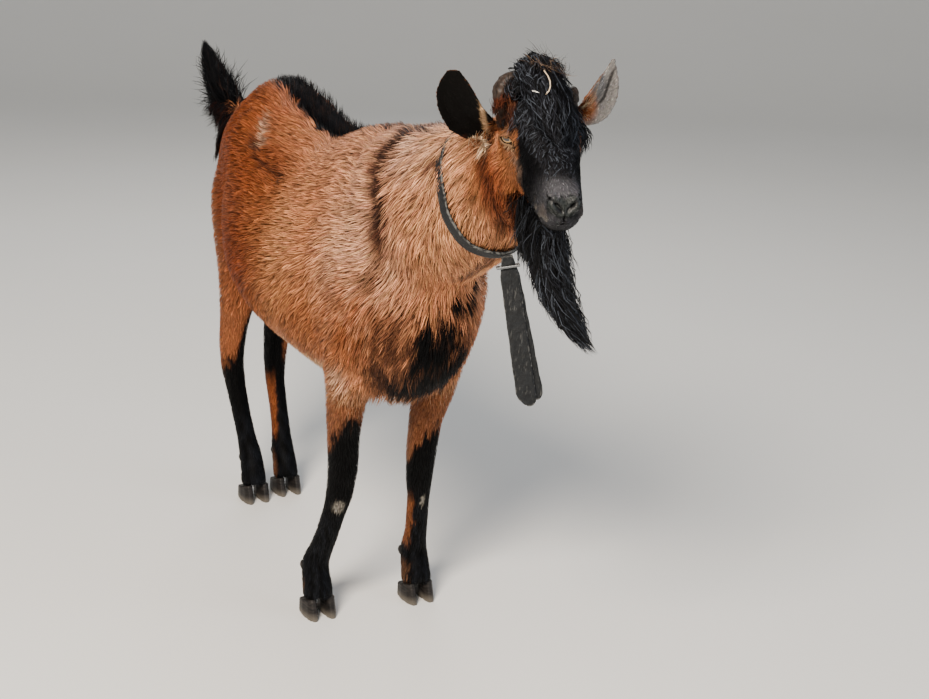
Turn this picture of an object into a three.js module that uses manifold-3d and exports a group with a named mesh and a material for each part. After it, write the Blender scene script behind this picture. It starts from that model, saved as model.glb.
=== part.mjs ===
// A life-size standing buck goat, chamois-coloured type, with a leather collar.
// Millimetres, +Z up. The goat faces -Y, and its left side is on +X.
import * as THREE from "three";
import { mergeVertices } from "three/addons/utils/BufferGeometryUtils.js";
import Module from "manifold-3d";

const wasm = await Module();
wasm.setup();

// ---------------------------------------------------------------- driving dimensions

const WITHERS = 822; // top of the coat over the shoulders
const GAP = 0.4; // air left between neighbouring pieces
const EYE_LINE = { forward: 398, height: 868 }; // midpoint between the two eyes
const HEAD_TURN = THREE.MathUtils.degToRad(-17); // towards the goat's right
const NOSE_DOWN = THREE.MathUtils.degToRad(20);
const EYE = { radius: 14, out: 38.5, back: -2 };
const CLAW = { length: 60, width: 25, toe: 36, heel: 20, cleft: 5 };
const COLLAR = { width: 20, thickness: 4 };
const STRAP = {
  width: 27, thickness: 3.6, drop: 207, lean: 10, forward: 7.5, turn: -25, pinch: 0.55, flare: 28,
};
const KEEPER = { inside: 24.5, wire: 3.4, below: 15 };

// ---------------------------------------------------------------- solids and geometry

/** A closed geometry as a solid that can be cut and joined. */
function solidOf(geometry) {
  const bare = geometry.clone();
  bare.deleteAttribute("normal");
  bare.deleteAttribute("uv");
  const welded = mergeVertices(bare, 1e-4);
  const mesh = new wasm.Mesh({
    numProp: 3,
    vertProperties: welded.attributes.position.array,
    triVerts: new Uint32Array(welded.index.array),
  });
  return new wasm.Manifold(mesh);
}

/** A solid back as a geometry that three.js can draw. */
function geometryOf(solid) {
  const mesh = solid.getMesh();
  const geometry = new THREE.BufferGeometry();
  geometry.setAttribute("position", new THREE.BufferAttribute(mesh.vertProperties, 3));
  geometry.setIndex(new THREE.BufferAttribute(mesh.triVerts, 1));
  geometry.computeVertexNormals();
  return geometry;
}

const union = (...solids) => solids.reduce((whole, next) => whole.add(next));

/** The larger of the bodies that a cut left, so that no sliver stays behind. */
function largest(solid) {
  return solid.decompose().sort((a, b) => b.volume() - a.volume())[0];
}

/** Parts a solid by a plane through point: the piece on the normal's side, and the rest. */
function part(solid, point, normal) {
  const n = normal.clone().normalize();
  const offset = n.dot(point);
  return [
    solid.trimByPlane(n.toArray(), offset + GAP / 2),
    solid.trimByPlane(n.clone().negate().toArray(), -offset + GAP / 2),
  ];
}

const vector = (x, y, z) => new THREE.Vector3(x, y, z);

/** A closed skin over rings of points, with a fan over each end. */
function skinOver(rings) {
  const sides = rings[0].length;
  const middle = (ring) =>
    ring.reduce((sum, p) => sum.add(p), vector(0, 0, 0)).divideScalar(sides);
  const points = [...rings.flat(), middle(rings[0]), middle(rings.at(-1))];
  const [first, last] = [points.length - 2, points.length - 1];
  const index = [];
  const top = (rings.length - 1) * sides;
  for (let i = 0; i < sides; i++) {
    const j = (i + 1) % sides;
    for (let r = 0; r < top; r += sides) {
      index.push(r + i, r + j, r + sides + j, r + i, r + sides + j, r + sides + i);
    }
    index.push(first, j, i, last, top + i, top + j);
  }
  if (signedVolume(points, index) < 0) index.reverse();
  const geometry = new THREE.BufferGeometry().setFromPoints(points);
  geometry.setIndex(index);
  return geometry;
}

/** Six times the volume inside the triangles: below zero when they face inwards. */
function signedVolume(points, index) {
  let sum = 0;
  for (let i = 0; i < index.length; i += 3) {
    const [a, b, c] = [points[index[i]], points[index[i + 1]], points[index[i + 2]]];
    sum += a.dot(b.clone().cross(c));
  }
  return sum;
}

/** Points of an oval whose corners fill out as square rises above 2. */
function oval(sides, square) {
  return Array.from({ length: sides }, (_, i) => {
    const angle = (i / sides) * 2 * Math.PI;
    const bend = (v) => Math.sign(v) * Math.abs(v) ** (2 / square);
    return [bend(Math.cos(angle)), bend(Math.sin(angle))];
  });
}

/** How full a tube is at t, when its ends close like a dome over the given shares of its length. */
function dome(t, startShare, endShare) {
  const start = startShare ? Math.min(1, t / startShare) : 1;
  const end = endShare ? Math.min(1, (1 - t) / endShare) : 1;
  return Math.sqrt(1 - (1 - start) ** 2) * Math.sqrt(1 - (1 - end) ** 2);
}

/** Steps from 0 to 1 that crowd towards both ends, where domes need more rings. */
const eased = (i, steps) => 0.5 - 0.5 * Math.cos((Math.PI * i) / steps);

/**
 * A tube along a limb. Each station is [x, y, z, half width across, half depth fore and aft].
 * The sections stay square to the path, and their width stays level.
 */
function limb(stations, options = {}) {
  const { sides = 16, steps = 18, grow = 0, start = 0.08, end = 0.08, square = 2.2 } = options;
  const path = new THREE.CatmullRomCurve3(stations.map(([x, y, z]) => vector(x, y, z)));
  const girth = new THREE.CatmullRomCurve3(stations.map(([, , , w, d]) => vector(w, d, 0)));
  const across = options.across ?? vector(1, 0, 0);
  const rings = [];
  for (let i = 0; i <= steps; i++) {
    const t = THREE.MathUtils.lerp(i / steps, eased(i, steps), 0.5);
    const centre = path.getPoint(t);
    const along = path.getTangent(t);
    const side = across.clone().addScaledVector(along, -across.dot(along)).normalize();
    const front = along.clone().cross(side);
    const full = Math.max(dome(t, start, end), 0.02);
    const { x: wide, y: deep } = girth.getPoint(t);
    rings.push(
      oval(sides, square).map(([a, b]) =>
        centre
          .clone()
          .addScaledVector(side, a * (wide * full + grow))
          .addScaledVector(front, b * (deep * full + grow)),
      ),
    );
  }
  return solidOf(skinOver(rings));
}

/**
 * A form lofted from its side view. Each station is
 * [y, top, bottom, half width, widest, crest, middle]: widest is the height of the greatest
 * width, from -1 at the bottom to 1 at the top, crest raises a narrow ridge along the top, and
 * middle is the x of the centre line.
 */
function profiled(stations, options = {}) {
  const { sides = 24, steps = 24, grow = 0, start = 0.1, end = 0.1, square = 2.2 } = options;
  const ridge = options.ridge ?? 30;
  const line = new THREE.CatmullRomCurve3(stations.map(([y, top, low]) => vector(y, top, low)));
  const form = new THREE.CatmullRomCurve3(
    stations.map(([, , , half, widest = 0, crest = 0]) => vector(half, widest, crest)),
  );
  const sway = new THREE.CatmullRomCurve3(
    stations.map(([, , , , , , offset = 0], i) => vector(offset, i, 0)),
  );
  const rings = [];
  for (let i = 0; i <= steps; i++) {
    const t = THREE.MathUtils.lerp(i / steps, eased(i, steps), 0.4);
    const { x: y, y: top, z: low } = line.getPoint(t);
    const { x: half, y: widest, z: crest } = form.getPoint(t);
    const offset = sway.getPoint(t).x;
    const full = Math.max(dome(t, start, end), 0.02);
    const middle = (top + low) / 2;
    const tall = ((top - low) / 2) * full + grow;
    rings.push(
      oval(sides, square).map(([a, b]) => {
        const lean = 1 + widest * b - Math.abs(widest) * 0.35 * b * b;
        const x = a * (half * full + grow) * lean;
        const hump = b > 0 ? crest * full * Math.exp(-((x / ridge) ** 2)) : 0;
        return vector(x + offset, y, middle + b * tall + hump);
      }),
    );
  }
  return solidOf(skinOver(rings));
}

/** An ellipsoid with its half axes along x, y and z. */
function lump([x, y, z], [rx, ry, rz], grow = 0, detail = [16, 10]) {
  const ball = new THREE.SphereGeometry(1, ...detail);
  ball.scale(rx + grow, ry + grow, rz + grow).translate(x, y, z);
  return solidOf(ball);
}

// ---------------------------------------------------------------- trunk

const trunkCore = profiled(
  [
    // y, top, bottom, half width, widest, crest, middle
    [-156, 690, 504, 56, 0, 0, 0],
    [-105, 720, 444, 84, -0.05, 0, 0],
    [-40, 780, 404, 108, -0.08, 6, 0],
    [40, WITHERS - 10, 390, 126, -0.12, 10, 0],
    [130, 784, 390, 142, -0.16, 8, 1],
    [225, 760, 402, 154, -0.2, 5, 2],
    [330, 768, 414, 158, -0.2, 14, 4],
    [430, 784, 440, 144, -0.14, 24, 8],
    [518, 800, 482, 112, 0.02, 32, 12],
    [600, 770, 532, 90, 0.05, 14, 14],
    [680, 727, 552, 66, 0.02, 4, 14],
    [742, 694, 580, 44, 0, 0, 12],
  ],
  { sides: 18, steps: 20, start: 0.07, end: 0.06 },
);

/** The hip bone stands out under the loin, in front of the haunch. */
const hipBone = (side) => lump([10 + side * 60, 474, 702], [50, 86, 60], 0, [10, 7]);

// ---------------------------------------------------------------- legs

const mix = THREE.MathUtils.lerp;

// Where each foot stands, and where its knee or hock is.
const stance = {
  foreleg_right: { side: -1, foot: { x: -86, y: 108 }, joint: { x: -67, y: 56 } },
  foreleg_left: { side: 1, foot: { x: 87, y: 100 }, joint: { x: 72, y: 64 } },
  hindleg_right: { side: -1, foot: { x: -14, y: 604 }, joint: { x: -38, y: 662 } },
  hindleg_left: { side: 1, foot: { x: 56, y: 618 }, joint: { x: 60, y: 690 } },
};

// The coronet is the sloping line where the hair ends and the hoof begins.
const CORONET_SLOPE = (CLAW.toe - CLAW.heel) / CLAW.length;
const coronet = (behind) => (CLAW.toe + CLAW.heel) / 2 - behind * CORONET_SLOPE;

function aboveCoronet(leg, { x, y }) {
  const normal = vector(0, CORONET_SLOPE, 1).normalize();
  const middle = vector(x, y, coronet(0) + GAP);
  return leg.trimByPlane(normal.toArray(), normal.dot(middle));
}

function foreleg({ side, foot, joint }) {
  const leg = limb(
    [
      [side * 74, 30, 700, 32, 60],
      [side * 84, -14, 590, 42, 78],
      [side * 82, 8, 492, 42, 64],
      [side * 76, 22, 418, 34, 44],
      [mix(side * 76, joint.x, 0.6), mix(22, joint.y, 0.7), 335, 26, 32],
      [joint.x, joint.y, 248, 23, 27],
      [mix(joint.x, foot.x, 0.3), mix(joint.y, foot.y, 0.3), 190, 18, 20],
      [mix(joint.x, foot.x, 0.75), mix(joint.y, foot.y, 0.84), 118, 18, 20],
      [foot.x, foot.y + 8, 84, 22, 25],
      [foot.x, foot.y - 2, 48, 24, 27],
      [foot.x, foot.y - 8, 16, 24, 28],
    ],
    { sides: 12, steps: 19, start: 0.1, end: 0.01 },
  );
  return aboveCoronet(leg, foot);
}

function hindleg({ side, foot, joint }) {
  const leg = limb(
    [
      [12 + side * 46, 606, 690, 34, 74],
      [12 + side * 56, 585, 605, 42, 108],
      [12 + side * 58, 580, 510, 40, 96],
      [mix(10 + side * 56, joint.x, 0.4), 604, 425, 31, 62],
      [mix(10 + side * 54, joint.x, 0.8), joint.y - 26, 345, 24, 42],
      [joint.x, joint.y - 8, 272, 22, 34],
      [mix(joint.x, foot.x, 0.35), joint.y - 10, 208, 18, 24],
      [mix(joint.x, foot.x, 0.75), foot.y + 26, 128, 17, 20],
      [foot.x, foot.y + 14, 84, 21, 24],
      [foot.x, foot.y - 2, 48, 23, 26],
      [foot.x, foot.y - 8, 16, 23, 28],
    ],
    { sides: 12, steps: 19, start: 0.1, end: 0.01 },
  );
  return aboveCoronet(leg, foot);
}

/** One half of the cloven hoof: flat underneath, with a sloping toe wall and a flat inner wall. */
function claw({ x, y }, half) {
  const centre = x + half * (CLAW.width / 2 + CLAW.cleft / 2);
  const rings = [0, 0.14, 1].map((t, level) => {
    const front = y - CLAW.length * (0.62 - 0.2 * t);
    const back = y + CLAW.length * (0.4 - 0.04 * t);
    const [reach, middle] = [(back - front) / 2, (back + front) / 2];
    const wide = (CLAW.width / 2) * (level === 0 ? 0.92 : 1 - 0.06 * t);
    return oval(10, 2.6).map(([a, b]) => {
      const along = middle + b * reach;
      const taper = b < 0 ? 1 - 0.3 * b * b : 1;
      const flat = a * half < 0 ? 0.86 : 1;
      return vector(centre + a * wide * taper * flat, along, t * coronet(along - y));
    });
  });
  return solidOf(skinOver(rings));
}

const dewclaw = ({ x, y }, half, grow = 0) =>
  lump([x + half * 11, y + 31, 73], [6.5, 9, 10], grow, [6, 4]);

// ---------------------------------------------------------------- neck

const neckCore = (grow = 0) =>
  limb(
    [
      [0, 40, 676, 96, 122],
      [0, -60, 700, 98, 128],
      [0, -150, 730, 86, 115],
      [-2, -245, 766, 72, 98],
      [-7, -325, 812, 58, 74],
      [-12, -378, 846, 44, 50],
    ],
    { sides: 18, steps: 11, grow, start: 0.12, end: 0.05 },
  );

// ---------------------------------------------------------------- head, in its own frame

// The head's frame has its origin midway between the eyes, -y along the nose and +x to the left.
const headPlace = new THREE.Matrix4()
  .makeTranslation(0, -EYE_LINE.forward, EYE_LINE.height)
  .multiply(new THREE.Matrix4().makeRotationZ(HEAD_TURN))
  .multiply(new THREE.Matrix4().makeRotationX(NOSE_DOWN));
const onHead = (solid) => solid.transform(headPlace.elements);
const headPoint = (x, y, z) => vector(x, y, z).applyMatrix4(headPlace);
const headWay = (x, y, z) => vector(x, y, z).transformDirection(headPlace);
const sides = [-1, 1];

/** The whole head without its ears, horns and hair; grow thickens it all round. */
function skull(grow = 0) {
  const form = profiled(
    [
      [88, 32, -70, 38, 0.1],
      [52, 44, -93, 48, 0.15],
      [15, 45, -95, 50, 0.22],
      [-15, 40, -86, 47, 0.26],
      [-50, 31, -73, 40, 0.12],
      [-90, 20, -61, 32, 0],
      [-125, 9, -55, 27.5, -0.05],
      [-157, -5, -46, 19.5, -0.1],
    ],
    { sides: 18, steps: 14, grow, start: 0.12, end: 0.1, square: 2.3, ridge: 1 },
  );
  const bulges = sides.flatMap((side) => [
    lump([side * 29, 18, -42], [22, 52, 38], grow, [12, 8]), // cheek
    lump([side * 33, 8, 5], [18, 25, 20], grow, [10, 7]), // eye socket's rim
    lump([side * 12, -131, -9], [12, 20, 12.5], grow, [10, 7]), // nostril's wing
  ]);
  return onHead(union(form, ...bulges));
}

const eyeball = (side, grow = 0) =>
  onHead(lump([side * EYE.out, EYE.back, 0], Array(3).fill(EYE.radius), grow, [12, 8]));

/**
 * An ear: a cupped leaf along a line of points from its root to its tip, facing the way its
 * hollow looks. Widths are shares of the greatest half width.
 */
function ear(line, facing, half, widths, grow = 0) {
  const path = new THREE.CatmullRomCurve3(line);
  const shape = new THREE.CatmullRomCurve3(widths.map((share, i) => vector(share, i, 0)));
  const steps = 8;
  const rings = [];
  for (let i = 0; i <= steps; i++) {
    const t = i / steps;
    const along = path.getTangent(t);
    const look = facing.clone().addScaledVector(along, -facing.dot(along)).normalize();
    const across = along.clone().cross(look);
    const wide = shape.getPoint(t).x * half;
    const cup = (12 * (1 - t) + 5) * (wide / half);
    const thick = mix(9, 3.6, t) / 2;
    const edge = [-1, -0.6, 0, 0.6, 1];
    const ring = [...edge.map((v) => [v, 1]), ...edge.reverse().map((v) => [v, -1])];
    rings.push(
      ring.map(([v, face]) =>
        path
          .getPoint(t)
          .addScaledVector(across, v * (wide + grow))
          .addScaledVector(look, cup * v * v + face * (thick * (1 - 0.5 * v * v) + grow)),
      ),
    );
  }
  return solidOf(skinOver(rings));
}

const earRight = (grow = 0) =>
  ear(
    [headPoint(-48, 40, -16), headPoint(-86, 32, 8), headPoint(-107, 24, 42), headPoint(-117, 18, 80)],
    headWay(-0.35, -1, -0.1),
    28,
    [0.5, 0.75, 1, 1, 0.95, 0.75, 0.28],
    grow,
  );
const earLeft = (grow = 0) =>
  ear(
    [headPoint(46, 34, 8), headPoint(72, 52, 17), headPoint(97, 80, 32), headPoint(106, 98, 56)],
    headWay(0.1, -1, 0.15),
    24,
    [0.55, 0.8, 1, 0.96, 0.7, 0.36, 0.08],
    grow,
  );

/** The right horn never grew out: a flat scur that curls up and over towards the crown. */
const hornRight = (grow = 0) =>
  onHead(
    limb(
      [
        [-44, 26, 18, 9, 15],
        [-55, 27, 41, 8, 13],
        [-52, 30, 56, 7, 11],
        [-40, 33, 64, 6, 9],
        [-25, 36, 65, 4, 6],
      ],
      { sides: 8, steps: 9, grow, start: 0.05, end: 0.12, across: vector(-0.8, 0, 0.6) },
    ),
  );

/** The left horn is a short blunt stub. */
const hornLeft = (grow = 0) =>
  onHead(
    limb(
      [
        [33, 26, 14, 10, 13],
        [38, 24, 36, 8.5, 11],
        [36, 21, 57, 6, 8],
      ],
      { sides: 8, steps: 5, grow, start: 0.05, end: 0.14 },
    ),
  );

// ---------------------------------------------------------------- long hair as plain masses

const forelockMass = onHead(
  union(
    limb(
      [
        [-4, 52, 38, 23, 26],
        [-11, 40, 68, 26, 24],
        [-12, 14, 80, 26, 21],
        [-5, -18, 64, 26, 17],
        [4, -44, 42, 24, 12],
        [8, -72, 25, 15, 7],
      ],
      { sides: 10, steps: 10, start: 0.12, end: 0.1 },
    ),
    lump([-14, 14, 90], [12, 11, 15], 0, [7, 5]),
  ),
);

const beardMass = onHead(
  limb(
    [
      [-6, -86, -34, 24, 36],
      [-4, -90, -72, 24, 36],
      [1, -98, -112, 25, 30],
      [15, -104, -158, 21, 22],
      [35, -109, -198, 15, 15],
      [61, -114, -236, 7, 7],
      [74, -115, -251, 2, 2],
    ],
    { sides: 12, steps: 10, start: 0.12, end: 0.04 },
  ),
);

const tailMass = limb(
  [
    [6, 700, 690, 30, 28],
    [2, 750, 716, 30, 35],
    [-5, 806, 752, 27, 34],
    [-8, 852, 792, 17, 22],
    [-8, 886, 826, 3, 4],
  ],
  { sides: 12, steps: 9, start: 0.1, end: 0.05 },
);

// ---------------------------------------------------------------- joining and parting the flesh

const headGrown = skull(GAP);
const eyes = sides.map((side) => eyeball(side));
const sockets = union(...sides.map((side) => eyeball(side, GAP)));

const legs = Object.fromEntries(
  Object.entries(stance).map(([name, pose]) => [
    name,
    name.startsWith("fore") ? foreleg(pose) : hindleg(pose),
  ]),
);
let whole = union(
  trunkCore,
  ...sides.map(hipBone),
  neckCore(),
  skull(),
  tailMass,
  ...Object.values(legs),
);

/** A block between two corners. */
function block(low, high) {
  const [from, to] = [vector(...low), vector(...high)];
  const size = to.clone().sub(from);
  const middle = from.clone().add(to).divideScalar(2);
  return solidOf(new THREE.BoxGeometry(...size.toArray()).translate(...middle.toArray()));
}

const pieces = {};

// Dewclaws sit in the backs of the pasterns.
for (const [name, { foot }] of Object.entries(stance)) {
  for (const [half, word] of [[-1, "right"], [1, "left"]]) {
    pieces[`${name}_dewclaw_${word}`] = dewclaw(foot, half);
    whole = whole.subtract(dewclaw(foot, half, GAP));
  }
}

// Each leg leaves the trunk along a level plane, and is parted again at the knee or hock.
const legTop = { fore: 384, hind: 440 };
for (const [name, { foot, joint }] of Object.entries(stance)) {
  const kind = name.slice(0, 4);
  const centre = mix(foot.x, joint.x, 0.5);
  const reach = (x) => (x < 0 ? [-200, name === "hindleg_right" ? 12 : 0] : [name === "hindleg_left" ? 12 : 0, 200]);
  const [left, right] = reach(name.endsWith("right") ? -1 : 1);
  const box = (grow) =>
    block([left - grow, joint.y - 160 - grow, -50], [right + grow, joint.y + 160 + grow, legTop[kind] + grow]);
  const leg = largest(whole.intersect(box(-GAP / 2)));
  whole = whole.subtract(box(GAP / 2));
  const bend = vector(joint.x, joint.y, kind === "fore" ? 246 : 262);
  const tilt = kind === "fore" ? vector(0, 0.15, -1) : vector(0, 0.3, -1);
  const [lower, upper] = part(leg, bend, tilt);
  pieces[`${name}_upper`] = largest(upper);
  pieces[`${name}_lower`] = largest(lower);
  for (const [half, word] of [[-1, "right"], [1, "left"]]) {
    pieces[`${name}_claw_${word}`] = claw(foot, half);
  }
}

let rest;
[pieces.tail, rest] = part(whole, vector(0, 742, 712), vector(0, 0.78, 0.62));
const [front, trunk] = part(rest, vector(0, -90, 720), vector(0, -0.737, 0.676));
const [headAndJaw, neck] = part(front, headPoint(0, 62, -20), headWay(0, -0.88, 0.47));
pieces.trunk = largest(trunk);
pieces.neck = largest(neck);
const jawPlane = headWay(0, -0.23, -1);
const [jaw, head] = part(headAndJaw.subtract(sockets), headPoint(0, -150, -31), jawPlane);
pieces.lower_jaw = largest(jaw);
pieces.head = largest(head);
[pieces.eye_right, pieces.eye_left] = eyes;

pieces.horn_right = largest(hornRight().subtract(headGrown));
pieces.horn_left = largest(hornLeft().subtract(headGrown));
const neckGrown = neckCore(GAP);
pieces.ear_right = largest(earRight().subtract(union(headGrown, neckGrown, hornRight(GAP))));
pieces.ear_left = largest(earLeft().subtract(union(headGrown, neckGrown, hornLeft(GAP))));
const crown = union(headGrown, hornRight(GAP), hornLeft(GAP), earRight(GAP), earLeft(GAP));
pieces.forelock = largest(forelockMass.subtract(union(crown, neckGrown)));
pieces.beard = largest(beardMass.subtract(headGrown));

// ---------------------------------------------------------------- collar and its hanging ends

// The collar goes round the neck square to it: low at the throat, and high behind the jaw.
const collarAt = vector(-2, -262, 767);
const collarWay = vector(0, -0.86, 0.5).normalize();

/** The space between two planes square to the collar's way. */
function slab(solid, half) {
  const at = collarWay.dot(collarAt);
  return solid
    .trimByPlane(collarWay.toArray(), at - half)
    .trimByPlane(collarWay.clone().negate().toArray(), -at - half);
}
const inside = GAP + 0.4;
pieces.collar = largest(
  slab(neckCore(inside + COLLAR.thickness), COLLAR.width / 2).subtract(neckCore(inside)),
);

// The straps' frame has its origin at the throat, z up along them and -y the way they face.
const turned = (axis, degrees) =>
  new THREE.Matrix4().makeRotationAxis(axis, THREE.MathUtils.degToRad(degrees));
const strapPlace = new THREE.Matrix4()
  .makeTranslation(3, -316, 694)
  .multiply(turned(vector(0, 0, 1), STRAP.turn))
  .multiply(turned(vector(1, 0, 0), -STRAP.forward))
  .multiply(turned(vector(0, 1, 0), -STRAP.lean));

/** A flat strap, pinched where it hangs and with a worn, rounded end. */
function strap(length, back, swing) {
  const half = STRAP.width / 2;
  const outline = new THREE.Shape()
    .moveTo(-half * STRAP.pinch, 0)
    .lineTo(half * STRAP.pinch, 0)
    .lineTo(half * 0.94, -STRAP.flare)
    .lineTo(half, -length + half)
    .quadraticCurveTo(half, -length + 3, half * 0.35, -length)
    .quadraticCurveTo(-half * 0.6, -length + 3, -half, -length + half * 1.4)
    .lineTo(-half * 0.94, -STRAP.flare);
  const options = { depth: STRAP.thickness, bevelEnabled: false, curveSegments: 5 };
  const flat = new THREE.ExtrudeGeometry(outline, options)
    .rotateX(Math.PI / 2)
    .translate(0, back + STRAP.thickness, 0)
    .applyMatrix4(turned(vector(0, 1, 0), -swing));
  return solidOf(flat).transform(strapPlace.elements);
}

const collarGrown = neckCore(inside + COLLAR.thickness + GAP);
const apart = STRAP.thickness + 0.5;
pieces.strap_front = largest(strap(STRAP.drop, 0, 0).subtract(collarGrown));
pieces.strap_back = largest(strap(STRAP.drop - 6, apart, 3).subtract(collarGrown));

// The keeper is a slim steel ring round the pinched tops of both straps, under the collar.
const keeperBlock = (grow, tall) => {
  const half = KEEPER.inside / 2 + grow;
  const deep = 1 + grow;
  const [low, high] = [-KEEPER.below - tall / 2, -KEEPER.below + tall / 2];
  return block([-half, -deep, low], [half, apart + STRAP.thickness + deep, high]);
};
pieces.strap_keeper = keeperBlock(KEEPER.wire, KEEPER.wire)
  .subtract(keeperBlock(0, 2 * KEEPER.wire))
  .transform(strapPlace.elements);

// ---------------------------------------------------------------- the goat

const colours = {
  coat: 0xb5794f,
  dark: 0x17171c,
  horn: 0x6b6259,
  hoof: 0x5d5a56,
  eye: 0xb9a27a,
  leather: 0x2e3236,
  steel: 0x8a8a86,
};
const colourOf = (name) => {
  if (/claw/.test(name)) return colours.hoof;
  if (/horn/.test(name)) return colours.horn;
  if (/eye/.test(name)) return colours.eye;
  if (/keeper/.test(name)) return colours.steel;
  if (/collar|strap/.test(name)) return colours.leather;
  if (/tail|beard|forelock|leg_\w+_lower/.test(name)) return colours.dark;
  return colours.coat;
};

const goat = new THREE.Group();
for (const [name, solid] of Object.entries(pieces)) {
  const material = new THREE.MeshStandardMaterial({ color: colourOf(name), roughness: 0.85 });
  const mesh = new THREE.Mesh(geometryOf(solid), material);
  mesh.name = name;
  goat.add(mesh);
}

// The origin is under the middle of the goat, on the floor.
const bounds = new THREE.Box3().setFromObject(goat);
const middle = bounds.getCenter(vector(0, 0, 0));
goat.position.set(-middle.x, -middle.y, -bounds.min.z);

export default goat;
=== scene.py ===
# %% [markdown]
# # A standing buck goat in its coat
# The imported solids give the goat's outline, from the soles to the tips of the hair. This script
# dresses them: one skin under the coat, thousands of small mesh locks over it, and then the eyes,
# horns, hooves and the leather collar. Every place is worked out from the solids' own boxes.

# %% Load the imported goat
import math

import bmesh
import bpy
import numpy as np
from mathutils import Matrix, Vector
from mathutils.bvhtree import BVHTree
from mathutils.kdtree import KDTree


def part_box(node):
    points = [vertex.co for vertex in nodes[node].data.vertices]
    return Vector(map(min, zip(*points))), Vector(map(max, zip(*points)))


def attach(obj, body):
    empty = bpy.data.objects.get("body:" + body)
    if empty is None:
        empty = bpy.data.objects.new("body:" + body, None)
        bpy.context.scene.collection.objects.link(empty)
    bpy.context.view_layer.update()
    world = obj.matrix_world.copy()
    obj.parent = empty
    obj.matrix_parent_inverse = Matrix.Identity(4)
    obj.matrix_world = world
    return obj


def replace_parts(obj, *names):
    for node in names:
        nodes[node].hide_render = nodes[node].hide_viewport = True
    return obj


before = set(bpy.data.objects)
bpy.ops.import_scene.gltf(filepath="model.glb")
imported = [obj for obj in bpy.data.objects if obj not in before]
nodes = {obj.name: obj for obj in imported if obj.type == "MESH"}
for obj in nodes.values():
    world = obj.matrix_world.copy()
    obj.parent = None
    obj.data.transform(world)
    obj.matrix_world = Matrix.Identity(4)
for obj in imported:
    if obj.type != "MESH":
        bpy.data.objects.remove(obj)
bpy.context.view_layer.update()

# %% [markdown]
# The part is drawn in millimetres, with the goat facing -Y and its left side on +X. The head has
# a frame of its own, turned and tipped, with its origin between the eyes. Both frames are found
# again here from the boxes of the two eyeballs, so a landmark on the face or the flank can be
# given in the same millimetres as in the drawing.

# %% The drawing's frame and the head's frame
MM = 0.001
CELLS = 2048  # cells of space along each axis, where points are sorted into cells
EYES_AT = np.array([0.0, -398.0, 868.0])  # the head frame's origin, in the drawing
EYE_BACK = -2.0  # the eyeballs' centres in the head frame: this far back of the origin
HEAD_TURN, HEAD_NOD = math.radians(-17), math.radians(20)
# the head frame's axes, as columns
HEAD = np.array(Matrix.Rotation(HEAD_TURN, 3, "Z") @ Matrix.Rotation(HEAD_NOD, 3, "X"))


def middle(*names):
    """The mean centre of some CAD nodes' boxes, in metres."""
    return sum((sum(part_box(name), Vector()) / 2 for name in names), Vector()) / len(names)


eye_mean = np.array(middle("eye_right", "eye_left")) / MM
DRAWN_ZERO = eye_mean - HEAD @ np.array([0, EYE_BACK, 0]) - EYES_AT


def to_head(points):
    return (np.asarray(points) - EYES_AT) @ HEAD


def from_head(points):
    return np.asarray(points) @ HEAD.T + EYES_AT


def metres(points):
    """Drawing millimetres to the model's metres."""
    return (np.asarray(points) + DRAWN_ZERO) * MM


print("the drawing's zero lies at", DRAWN_ZERO.round(2), "mm")

# %% [markdown]
# The camera stands low in front of the goat's right shoulder, and looks slightly down. Its place
# is measured from the middle of the fore hooves. It leans a little, as a hand-held camera does.

# %% Camera
fore_claws = middle(*[f"foreleg_{leg}_claw_{half}" for leg in ("right", "left") for half in ("right", "left")])
LENS, SENSOR = 63.9, 36.0  # millimetres
CAMERA_BESIDE, CAMERA_BEFORE, CAMERA_HEIGHT = 1.0265, 2.2584, 1.22  # metres from the hooves, and above the floor
DOWN, LEAN = math.radians(17.3), math.radians(2.2)
TOWARDS = (0.466, 0.885)  # the level part of the way the camera looks
camera_data = bpy.data.cameras.new("camera")
camera_data.lens, camera_data.sensor_width = LENS, SENSOR
camera = bpy.data.objects.new("camera", camera_data)
bpy.context.scene.collection.objects.link(camera)
camera.location = Vector((fore_claws.x - CAMERA_BESIDE, fore_claws.y - CAMERA_BEFORE, CAMERA_HEIGHT))
looking = Vector((TOWARDS[0] * math.cos(DOWN), TOWARDS[1] * math.cos(DOWN), -math.sin(DOWN)))
level = looking.to_track_quat("-Z", "Y").to_matrix()
camera.rotation_euler = (level @ Matrix.Rotation(LEAN, 3, "Z")).to_euler()
bpy.context.scene.camera = camera
print("camera at", [round(v, 3) for v in camera.location])

# %% [markdown]
# A node tree is easier to read when each node is one call that states its settings, its values
# and what feeds it. Colours are written as sRGB hex values, as a paint chart gives them, and
# turned to the linear values that the shaders use.

# %% Helpers for materials
def linear(hex_colour):
    parts = [int(hex_colour[i:i + 2], 16) / 255 for i in (1, 3, 5)]
    return np.array([c / 12.92 if c <= 0.04045 else ((c + 0.055) / 1.055) ** 2.4 for c in parts])


def rgba(hex_colour):
    return (*linear(hex_colour), 1.0)


def add(tree, kind, values=None, links=None, **settings):
    """Adds a node with its settings, its input values and its links."""
    node = tree.nodes.new("ShaderNode" + kind)
    for name, value in settings.items():
        setattr(node, name, value)
    for name, value in (values or {}).items():
        node.inputs[name].default_value = value
    for name, socket in (links or {}).items():
        tree.links.new(socket, node.inputs[name])
    return node


def noise(tree, place, scale, detail, roughness=0.5):
    """Fine uneven noise over the object; scale is in cells per metre."""
    return add(tree, "TexNoise", {"Scale": scale, "Detail": detail, "Roughness": roughness},
               {"Vector": place.outputs["Object"]})


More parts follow.
